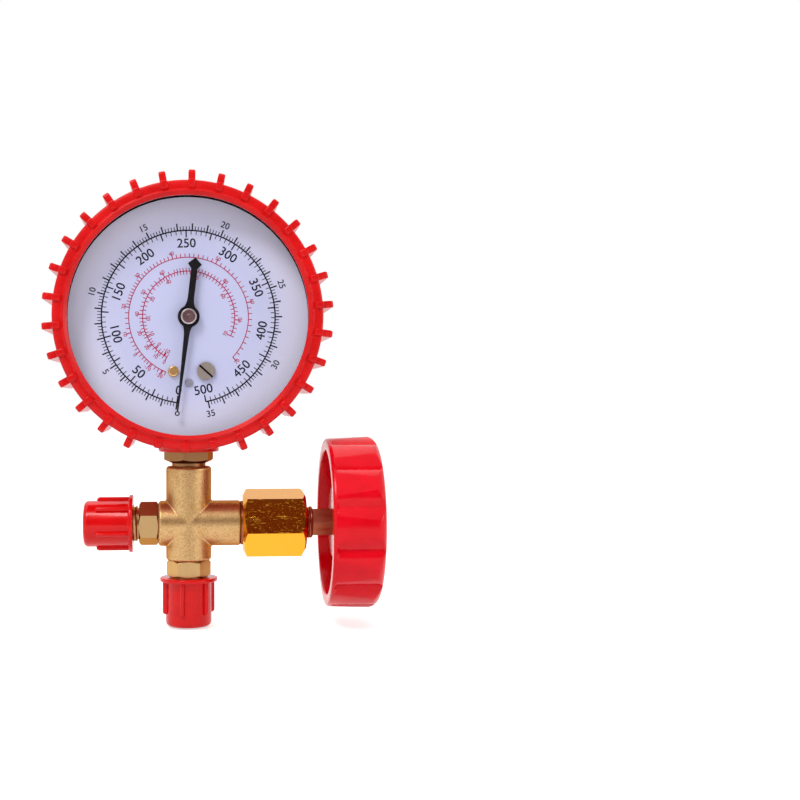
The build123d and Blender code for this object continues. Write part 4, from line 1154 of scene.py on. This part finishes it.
@dataclass
class RubberBoot:
    """The rubber boot: a ring with ribs, pads on its front lip and a collar."""

    outer: float = 40.85
    inner: float = 39.35
    front: float = 20.0
    seat: float = 18.0
    seat_step: float = 0.2
    rear: float = -13.8
    case_back: float = -12.0
    lip: float = 36.3
    lip_end: float = 0.9
    ridge: float = 37.7
    back_lip: float = 31.0
    rib_radius: float = 44.0
    ribs: int = 30
    bare: tuple[int, ...] = (14, 15, 16)
    rib_width: float = 2.1
    rib_turn: float = -1.3
    rib_round: float = 0.9
    rib_sunk: float = 1.2
    lip_round: float = 0.25
    bead: float = 0.3
    bead_inset: float = 0.2
    bead_valley: float = 0.45
    shoulder: float = 0.9
    shoulder_back: float = 1.3
    heel: float = 0.6
    hem: float = 0.4
    pad_start: float = 38.5
    pad_width: float = 2.2
    pad_depth: float = 1.8
    pad_proud: float = 0.2
    pad_past: float = 0.3
    pad_round: float = 0.4
    collar: float = 9.5
    collar_inner: float = 8.2
    collar_round: float = 0.5
    collar_drop: float = 1.0
    collar_height: float = 2.2
    steps: int = 360
    collar_steps: int = 72

    def build(self) -> None:
        """Builds the boot in place of its plain solid."""
        lip, bead, hem, heel = self.lip_round, self.bead, self.hem, self.heel
        rows = [(self.seat, self.inner), (self.seat, self.lip + self.seat_step)]
        rows += fillet((self.seat + lip, self.lip + lip), lip, 180, 270, 3)
        rows += fillet((self.front - self.lip_end, self.lip + lip), lip, 270, 330, 3)
        rows += fillet((self.front - bead, self.ridge - self.bead_inset), bead, 300, 420, 5)
        rows += fillet((self.front - self.bead_inset, self.ridge + self.bead_valley), bead,
                       210, 160, 2)
        rows += fillet((self.front - self.shoulder_back, self.outer - self.shoulder),
                       self.shoulder, 20, 90, 5)
        rows += fillet((self.rear + heel, self.outer - heel), heel, 90, 180, 5)
        rows += fillet((self.rear + hem, self.back_lip + hem), hem, 180, 270, 3)
        rows += [(self.case_back, self.back_lip), (self.case_back, self.inner)]
        draft = Draft()
        draft.spin(FORWARD, rows, self.steps)
        for index in range(self.ribs):
            self._rib_and_pad(draft, index)
        self._collar(draft)
        made = draft.piece("protective_boot_ribbed", RED_RUBBER, Body.CASE, "red_rubber")
        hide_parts("protective_boot")

    def _rib_and_pad(self, draft: Draft, index: int) -> None:
        """Adds one rib, but for the places by the socket, and the pad in front of it.

        Args:
            draft: What they are added to.
            index: Their number, clockwise from the top.
        """
        angle = 90 + self.rib_turn - index * 360 / self.ribs
        out = FORWARD.point(0, angle, 1.0) - FORWARD.origin
        if index not in self.bare:
            draft.rib(FORWARD, angle, (self.rear + self.hem, self.front - self.heel),
                      (self.outer - self.rib_sunk, self.rib_radius), self.rib_width,
                      self.rib_round)
        reach = self.outer + self.pad_past - self.pad_start
        middle = FORWARD.point(self.front + self.pad_proud - self.pad_depth / 2, angle,
                               self.pad_start + reach / 2)
        draft.block(middle, (out, FORWARD.axis.cross(out), FORWARD.axis),
                    (reach, self.pad_width, self.pad_depth), self.pad_round)

    def _collar(self, draft: Draft) -> None:
        """Adds the collar round the socket's neck, under the boot.

        Args:
            draft: What it is added to.
        """
        hem, edge = self.hem, self.collar_round
        bottom = Spindle(Vector((0, 0, GAUGE_Z - self.outer - self.collar_drop)),
                         Vector((0, 0, 1)), Vector((1, 0, 0)))
        rows = [(self.collar_height, self.collar_inner)]
        rows += fillet((hem, self.collar_inner + hem), hem, 270, 180, 3)
        rows += fillet((edge, self.collar - edge), edge, 180, 90, 4)
        rows += [(self.collar_height, self.collar)]
        draft.spin(bottom, rows, self.collar_steps)


@dataclass
class CastBody:
    """The forged cross: the plain solid with its edges and crotches rounded off."""

    voxel: float = 0.24
    softening: int = 2
    soft_factor: float = 0.5

    def build(self) -> None:
        """Builds the softened body in place of its plain solid."""
        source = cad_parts["valve_body"]
        mesh = source.data.copy()
        mesh.name = "valve_body_forged"
        made = bpy.data.objects.new("valve_body_forged", mesh)
        bpy.context.scene.collection.objects.link(made)
        remesh = made.modifiers.new("skin", "REMESH")
        remesh.mode = "VOXEL"
        remesh.voxel_size = self.voxel * MM
        soft = made.modifiers.new("soft", "SMOOTH")
        soft.iterations = self.softening
        soft.factor = self.soft_factor
        graph = bpy.context.evaluated_depsgraph_get()
        final = bpy.data.meshes.new_from_object(made.evaluated_get(graph))
        made.modifiers.clear()
        made.data = final
        final.materials.clear()
        final.materials.append(SAND_BRASS.material())
        for face in final.polygons:
            face.use_smooth = True
        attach(made, Body.CASE.value)
        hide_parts("valve_body")
        LOG.info("valve_body_forged: %d faces", len(final.polygons))


@dataclass(frozen=True)
class BoilingCurve:
    """How the pressure at boiling rises with the temperature, for one arc of the dial."""

    rise: float
    slope: float
    shift: float
    air: float = 14.7

    def pressure(self, degree: float) -> float:
        """The pressure over that of the air, in the inner black scale's units."""
        return math.exp(self.rise - self.slope / (degree + self.shift)) - self.air


@dataclass(frozen=True)
class RedScale:
    """One of the red temperature scales.

    Args:
        curve: What places its ticks.
        degrees: Its lowest and highest degree.
        first_label: The first degree that has a number.
        radius: The radius of its arc.
        tick: Length of a tick, negative towards the middle.
        label_radius: The radius of its numbers.
    """

    curve: BoilingCurve
    degrees: tuple[int, int]
    first_label: int
    radius: float
    tick: float
    label_radius: float


@dataclass
class DialPrint:
    """What is printed on the dial: two pressure scales and three temperature scales.

    Angles run clockwise from straight down, as the pointer turns. Pairs give a plain tick's
    value and a long one's, and digits a radius and a height.
    """

    zero: float = 7.8
    turn_per_unit: float = 0.6816
    inner_full: int = 500
    inner_tick: int = 5
    inner_long: int = 25
    inner_number: int = 50
    inner_ends: tuple[float, float] = (25.35, 24.5)
    inner_widths: tuple[float, float] = (0.24, 0.4)
    inner_digits: tuple[float, float] = (22.75, 2.75)
    outer_full: int = 35
    outer_unit: float = 14.223
    outer_ticks: int = 5
    outer_ends: tuple[float, float] = (27.9, 28.85)
    outer_widths: tuple[float, float] = (0.24, 0.42)
    outer_digits: tuple[float, float] = (30.45, 1.95)
    level: float = 10.49
    ink: float = 0.04
    coat: float = 0.006
    bold: float = 0.012
    digit_share: float = 0.7
    circle: float = 26.65
    line: float = 0.42
    red_line: float = 0.26
    red_gap: float = 0.85
    red_widths: tuple[float, float] = (0.24, 0.3)
    red_reaches: tuple[float, float] = (1.15, 1.5)
    red_digits: float = 1.15
    red_scales: tuple[RedScale, ...] = (
        RedScale(BoilingCurve(12.392, 2035.3, 255.3), (-24, 70), -20, 18.37, 1.0, 20.15),
        RedScale(BoilingCurve(12.687, 2430.7, 273.6), (0, 94), 0, 14.13, 0.9, 15.85),
        RedScale(BoilingCurve(12.797, 2231.7, 262.0), (-14, 70), -10, 14.13, -0.9, 12.35),
    )

    def at(self, angle: float, radius: float, level: float | None = None) -> Vector:
        """The place on the dial at an angle and radius."""
        return FORWARD.point(self.level if level is None else level, 270 - angle, radius)

    def angle(self, pressure: float) -> float:
        """The angle of a pressure, in the inner black scale's units."""
        return self.zero + self.turn_per_unit * pressure

    def tick(self, draft: Draft, angle: float, start: float, end: float, width: float) -> None:
        """Adds a tick.

        Args:
            draft: What it is added to.
            angle: Its place round the dial.
            start: The radius that it starts from.
            end: The radius that it ends at.
            width: Its width.
        """
        half = math.degrees(width / 2 / ((start + end) / 2))
        draft.prism([self.at(angle - half, start), self.at(angle - half, end),
                     self.at(angle + half, end), self.at(angle + half, start)],
                    FORWARD.axis * self.ink)

    def arc(self, draft: Draft, start: float, end: float, radius: float, width: float,
            layer: int = 1) -> None:
        """Adds a line along part of a circle.

        Args:
            draft: What it is added to.
            start: Where it starts round the dial.
            end: Where it ends.
            radius: The circle's radius.
            width: The line's width.
            layer: How many coats above the ticks it lies, so that no two lie in one plane.
        """
        count = max(int((end - start) / 2), 8)
        top = self.level + self.ink + self.coat * layer
        base = len(draft.corners)
        for index in range(count + 1):
            angle = start + (end - start) * index / count
            for reach, level in ((-1, self.level), (-1, top), (1, top), (1, self.level)):
                draft.corners.append(self.at(angle, radius + reach * width / 2, level))
        for index in range(count):
            for side in range(4):
                here, there = base + 4 * index + side, base + 4 * index + (side + 1) % 4
                draft.faces.append((here, there, there + 4, here + 4))
        last = base + 4 * count
        draft.faces.append((base, base + 1, base + 2, base + 3))
        draft.faces.append((last + 3, last + 2, last + 1, last))

    def label(self, draft: Draft, text: str, angle: float, radius: float, height: float) -> None:
        """Adds a number that stands square to its radius and is never upside down.

        Args:
            draft: What it is added to.
            text: The number.
            angle: Its place round the dial.
            radius: Its place out from the centre.
            height: The height of its digits.
        """
        curve = bpy.data.curves.new("label", "FONT")
        curve.body = text
        curve.size = 1.0
        curve.extrude = 0.5
        curve.resolution_u = 4
        holder = bpy.data.objects.new("label", curve)
        bpy.context.scene.collection.objects.link(holder)
        graph = bpy.context.evaluated_depsgraph_get()
        mesh = bpy.data.meshes.new_from_object(holder.evaluated_get(graph))
        work = bmesh.new()
        work.from_mesh(mesh)
        bmesh.ops.remove_doubles(work, verts=work.verts, dist=WELD * 10)
        work.normal_update()
        work.to_mesh(mesh)
        work.free()
        spots = [vert.co + self.bold * Vector((*vert.normal.xy, 0)).normalized()
                 for vert in mesh.vertices]
        low = Vector(min(spot[axis] for spot in spots) for axis in range(3))
        high = Vector(max(spot[axis] for spot in spots) for axis in range(3))
        scale = height / self.digit_share
        middle = (low + high) / 2
        centre = self.at(angle, radius)
        top = (centre - self.at(angle, 0.0)).normalized()
        if top.z < 0:
            top.negate()
        right = top.cross(FORWARD.axis)
        base = len(draft.corners)
        for spot in spots:
            off = (spot - middle) * scale
            lift = self.ink if spot.z > middle.z else 0.0
            draft.corners.append(centre + right * off.x + top * off.y + FORWARD.axis * lift)
        for face in mesh.polygons:
            draft.faces.append(tuple(base + index for index in face.vertices))
        bpy.data.objects.remove(holder)
        bpy.data.curves.remove(curve)
        bpy.data.meshes.remove(mesh)

    def pressure_scales(self) -> None:
        """Prints the black circle with a scale outside it and another inside it."""
        marks, numbers = Draft(), Draft()
        self.arc(marks, self.angle(0), self.angle(self.inner_full), self.circle, self.line)
        for mark in range(0, self.inner_full + 1, self.inner_tick):
            long = mark % self.inner_long == 0
            self.tick(marks, self.angle(mark), self.inner_ends[long], self.circle,
                      self.inner_widths[long])
        for part in range(self.outer_full * self.outer_ticks + 1):
            long = part % self.outer_ticks == 0
            turn = self.angle(part / self.outer_ticks * self.outer_unit)
            self.tick(marks, turn, self.circle, self.outer_ends[long], self.outer_widths[long])
        for mark in range(0, self.inner_full + 1, self.inner_number):
            self.label(numbers, str(mark), self.angle(mark), *self.inner_digits)
        for mark in range(5, self.outer_full + 1, 5):
            self.label(numbers, str(mark), self.angle(mark * self.outer_unit),
                       *self.outer_digits)
        marks.piece("pressure_marks", BLACK_INK, Body.CASE, "dial_paint")
        numbers.piece("pressure_numbers", BLACK_INK, Body.CASE, "dial_paint")

    def temperature_scales(self) -> None:
        """Prints the red arcs with their three temperature scales."""
        marks, numbers = Draft(), Draft()
        for layer, scale in enumerate(self.red_scales):
            self._red_scale(marks, scale, layer + 1)
            for degree in range(scale.first_label, scale.degrees[1] + 1, 10):
                self.label(numbers, str(degree), self.angle(scale.curve.pressure(degree)),
                           scale.label_radius, self.red_digits)
        marks.piece("temperature_marks", RED_INK, Body.CASE, "dial_paint")
        numbers.piece("temperature_numbers", RED_INK, Body.CASE, "dial_paint")

    def _red_scale(self, marks: Draft, scale: RedScale, layer: int) -> None:
        """Adds one red scale's arc, and its ticks where there is room for them.

        Args:
            marks: What they are added to.
            scale: The scale.
            layer: The arc's layer.
        """
        low, high = scale.degrees
        start, end = (self.angle(scale.curve.pressure(degree)) for degree in (low, high))
        self.arc(marks, start, end, scale.radius, self.red_line, layer)
        last = 0.0
        for degree in range(low, high + 1):
            turn, long = self.angle(scale.curve.pressure(degree)), degree % 10 == 0
            if not long and math.radians(turn - last) * scale.radius < self.red_gap:
                continue
            last = turn
            self.tick(marks, turn, scale.radius, scale.radius + scale.tick * self.red_reaches[long],
                      self.red_widths[long])

    def build(self) -> None:
        """Prints everything."""
        self.pressure_scales()
        self.temperature_scales()


@dataclass
class Pointer:
    """The black pointer: a hub, a needle that ends in a loop and a tail with an arrow head.

    The needle and tail are outlines of distance from the middle and half width there.
    """

    back: float = 12.4
    front: float = 12.8
    turn: float = 6.7
    hub: float = 3.35
    bore: float = 0.81
    boss: float = 2.0
    boss_length: float = 1.2
    loop_at: float = 29.95
    loop: float = 0.75
    loop_hole: float = 0.4
    needle: tuple[tuple[float, float], ...] = (
        (2.4, 1.9), (3.2, 1.4), (3.8, 1.12), (4.6, 0.94), (6.0, 0.82), (29.35, 0.225))
    tail: tuple[tuple[float, float], ...] = (
        (-2.4, 2.0), (-3.2, 1.55), (-3.9, 1.25), (-4.7, 1.08), (-5.8, 0.98), (-14.7, 0.98),
        (-16.2, 2.15), (-18.2, 0.01))
    inset: float = 0.02
    edge: float = 0.08
    hub_steps: int = 96
    loop_steps: int = 32

    def build(self) -> None:
        """Builds the pointer in place of its plain solid."""
        out = FORWARD.point(0, 270 - self.turn, 1.0) - FORWARD.origin
        across = FORWARD.axis.cross(out)
        draft = Draft()
        base = FORWARD.origin + FORWARD.axis * (self.back + self.inset)
        for arm in (self.needle, self.tail):
            outline = [*arm, *((along, -half) for along, half in reversed(arm))]
            draft.prism([base + out * along + across * half for along, half in outline],
                        FORWARD.axis * (self.front - self.back - 2 * self.inset))
        draft.spin(FORWARD, [
            (self.back - self.boss_length, self.bore), (self.back - self.boss_length, self.boss),
            (self.back, self.boss), (self.back, self.hub), (self.front - self.edge, self.hub),
            (self.front, self.hub - self.edge), (self.front, self.bore)], self.hub_steps)
        eye = Spindle(FORWARD.origin + out * self.loop_at, FORWARD.axis, FORWARD.side)
        low, high = self.back + self.inset / 2, self.front - self.inset / 2
        draft.spin(eye, [(low, self.loop_hole), (low, self.loop), (high, self.loop),
                         (high, self.loop_hole)], self.loop_steps)
        made = draft.piece("pointer_stamped", BLACK_ENAMEL, Body.POINTER, "pointer_black")
        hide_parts("pointer")


@dataclass
class PointerCap:
    """The small metal cap in the pointer's hub, with a rim and a dimple.

    The dish gives depth under the front and radius, from the rim to the middle.
    """

    back: float = 12.8
    front: float = 13.6
    radius: float = 2.43
    rim_round: float = 0.25
    dish: tuple[tuple[float, float], ...] = (
        (0.0, 1.98), (0.22, 1.81), (0.22, 1.1), (0.18, 0.55), (0.22, 0.45), (0.55, 0.3),
        (0.55, 0.0))
    steps: int = 64

    def build(self) -> None:
        """Builds the cap in place of its plain solid."""
        rows: list[tuple[float, Radius]] = [(self.back, 0.0), (self.back, self.radius)]
        rows += fillet((self.front - self.rim_round, self.radius - self.rim_round),
                       self.rim_round, 90, 0, 4)
        rows += [(self.front - depth, radius) for depth, radius in self.dish]
        draft = Draft()
        draft.spin(FORWARD, rows, self.steps, closed=False)
        made = draft.piece("pointer_cap_turned", HUB_METAL, Body.POINTER, "pointer_silver", 30.0)
        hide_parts("pointer_cap")


@dataclass
class PlainNodes:
    """The parts whose solids are right as they are and only need their finish."""

    finishes: dict[str, Finish] = field(default_factory=lambda: {
        "bonnet": BONNET_BRASS, "bonnet_washer": STEM_BRASS, "gauge_socket": SOCKET_BRASS,
        "restrictor_screw": PORT_BRASS, "gauge_case": CASE_PAINT, "case_screws": SCREW_STEEL,
        "lens_gasket": BLACK_SEAL, "lens": CLEAR_LENS, "bezel_ring": BRIGHT_STEEL,
        "dial_plate": DIAL_PAINT_WITH_EDGE_LIGHT, "dial_screw": SCREW_BRASS, "dial_set_screw": SET_STEEL,
        "movement_back_plate": MOVEMENT_BRASS, "movement_front_plate": MOVEMENT_BRASS,
        "movement_pillars": MOVEMENT_BRASS, "movement_screws": SCREW_STEEL,
        "bourdon_tube": TUBE_BRONZE, "hairspring": TUBE_BRONZE,
        "hairspring_stud": MOVEMENT_BRASS, "hairspring_collet": MOVEMENT_BRASS,
        "pinion_arbor": BRIGHT_STEEL,
        "sector_gear": MOVEMENT_BRASS, "sector_arbor": BRIGHT_STEEL, "link_bar": BRIGHT_STEEL,
        "tail_pin": BRIGHT_STEEL, "tip_pin": BRIGHT_STEEL, "tube_tip": MOVEMENT_BRASS,
        "calibration_screw": SLOTTED_STEEL, "seat_disc": WHITE_SEAL, "stem_o_rings": BLACK_SEAL,
        "wheel_washer": WHEEL_STEEL, "wheel_screw": WHEEL_STEEL,
    })

    def build(self) -> None:
        """Gives each part its finish."""
        for name, finish in self.finishes.items():
            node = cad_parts[name]
            node.data.materials.clear()
            node.data.materials.append(finish.material())
            LOG.info("%s: %s", name, finish.name)


# Studio

@dataclass(frozen=True)
class Lamp:
    """A soft square lamp: its name, place, edge and power, in metres and watts."""

    name: str
    place: Colour
    edge: float
    watts: float

    def hang(self, aim: Vector) -> None:
        """Hangs the lamp.

        Args:
            aim: The point that it faces.
        """
        light = bpy.data.lights.new(self.name, "AREA")
        light.size = self.edge
        light.energy = self.watts
        lamp = bpy.data.objects.new(self.name, light)
        lamp.location = self.place
        lamp.rotation_euler = (aim - lamp.location).to_track_quat("-Z", "Y").to_euler()
        bpy.context.scene.collection.objects.link(lamp)


@dataclass
class Studio:
    """Floor, soft lamps, white surroundings and the camera, in metres."""

    floor_edge: float = 12.0
    floor_gap: float = 0.0005
    world_level: float = 0.6
    card_edge: float = 1.2
    card_place: Colour = (0.1, -1.1, 0.1)
    aim: Colour = (0.0, 0.0, 0.05)
    lamps: tuple[Lamp, ...] = (
        Lamp("key", (-0.35, -0.5, 0.75), 0.3, 4.0),
        Lamp("fill", (0.7, -0.35, 0.25), 0.3, 1.2),
        Lamp("back", (0.0, 0.4, 0.85), 0.8, 2.0),
    )
    lens: float = 56.925
    sensor: float = 36.0
    camera_place: Colour = (0.0003, -0.4016, 0.061)
    yaw: float = 5.0
    shift: float = 0.1245
    nearest: float = 0.01

    def sheet(self, name: str, edge: float, place: Colour, tilt: float,
              finish: Finish) -> bpy.types.Object:
        """Lays a square sheet that belongs to the studio.

        Args:
            name: Its name.
            edge: The length of its edges.
            place: Where its middle is.
            tilt: How far it is turned up from lying flat, in degrees.
            finish: What it is finished with.

        Returns:
            The sheet.
        """
        bpy.ops.mesh.primitive_grid_add(x_subdivisions=2, y_subdivisions=2, size=edge,
                                        location=place, rotation=(math.radians(tilt), 0, 0))
        made = bpy.context.active_object
        made.name = name
        made.data.materials.append(finish.material())
        return made

    def floor(self) -> None:
        """Lays the floor under the lowest point of the object."""
        self.sheet("floor", self.floor_edge, (0, 0, CAD_BOX[0][2] - self.floor_gap), 0.0,
                   StudioWhite("studio_white"))

    def world(self) -> None:
        """White to what looks at it, a plain level for the light it gives."""
        world = bpy.data.worlds.new("studio")
        bpy.context.scene.world = world
        graph = Graph(world)
        level = graph.node("ShaderNodeMapRange", {}, {
            "Value": graph.seen(), "To Min": self.world_level, "To Max": 1.0})
        light = graph.node("ShaderNodeBackground", {}, {
            "Color": (1.0, 1.0, 1.0, 1.0), "Strength": graph.out(level, "Result")})
        graph.node("ShaderNodeOutputWorld", {}, {"Surface": graph.out(light)})

    def dark_card(self) -> None:
        """Hangs a dark card behind the camera, which polished metal shows."""
        card = self.sheet("dark_card", self.card_edge, self.card_place, 90.0, Painted(
            "card_brown", (0.22, 0.055, 0.05), (0.19, 0.045, 0.04), 0.9, 0.0))
        card.visible_camera = False
        card.visible_diffuse = False
        card.visible_shadow = False

    def camera(self) -> None:
        """Sets the camera where the photograph was taken from."""
        data = bpy.data.cameras.new("camera")
        data.lens = self.lens
        data.sensor_width = self.sensor
        data.shift_x = self.shift
        data.clip_start = self.nearest
        camera = bpy.data.objects.new("camera", data)
        camera.location = self.camera_place
        camera.rotation_euler = (math.radians(90), 0.0, math.radians(-self.yaw))
        bpy.context.scene.collection.objects.link(camera)
        bpy.context.scene.camera = camera

    def build(self) -> None:
        """Sets the whole studio."""
        self.floor()
        self.world()
        self.dark_card()
        for lamp in self.lamps:
            lamp.hang(Vector(self.aim))
        self.camera()
        bpy.context.scene.view_settings.view_transform = "Standard"
        LOG.info("studio: floor, card, %d lamps and camera", len(self.lamps))


def main() -> None:
    """Builds the gauge, piece by piece, and the studio round it."""
    logging.basicConfig(level=logging.INFO, format="%(message)s")
    assemblies = (
        PlainNodes(),
        CastBody(),
        FlareFitting("side_port_fitting", SIDE_PORT, SIDE_BRASS, 6.0, 25.0),
        FlareFitting("hose_port_fitting", HOSE_PORT, PORT_BRASS, 5.0, 0.0),
        DustCap("side_port_cap", SIDE_PORT, Body.SIDE_CAP, 7.9, 40.0),
        DustCap("hose_port_cap", HOSE_PORT, Body.HOSE_CAP, 5.4, 45.0),
        Stem(),
        Handwheel(),
        RubberBoot(),
        DialPrint(),
        Pointer(),
        PointerCap(),
        Studio(),
    )
    for assembly in assemblies:
        assembly.build()
    LOG.info("size written")


if __name__ == "__main__":
    main()
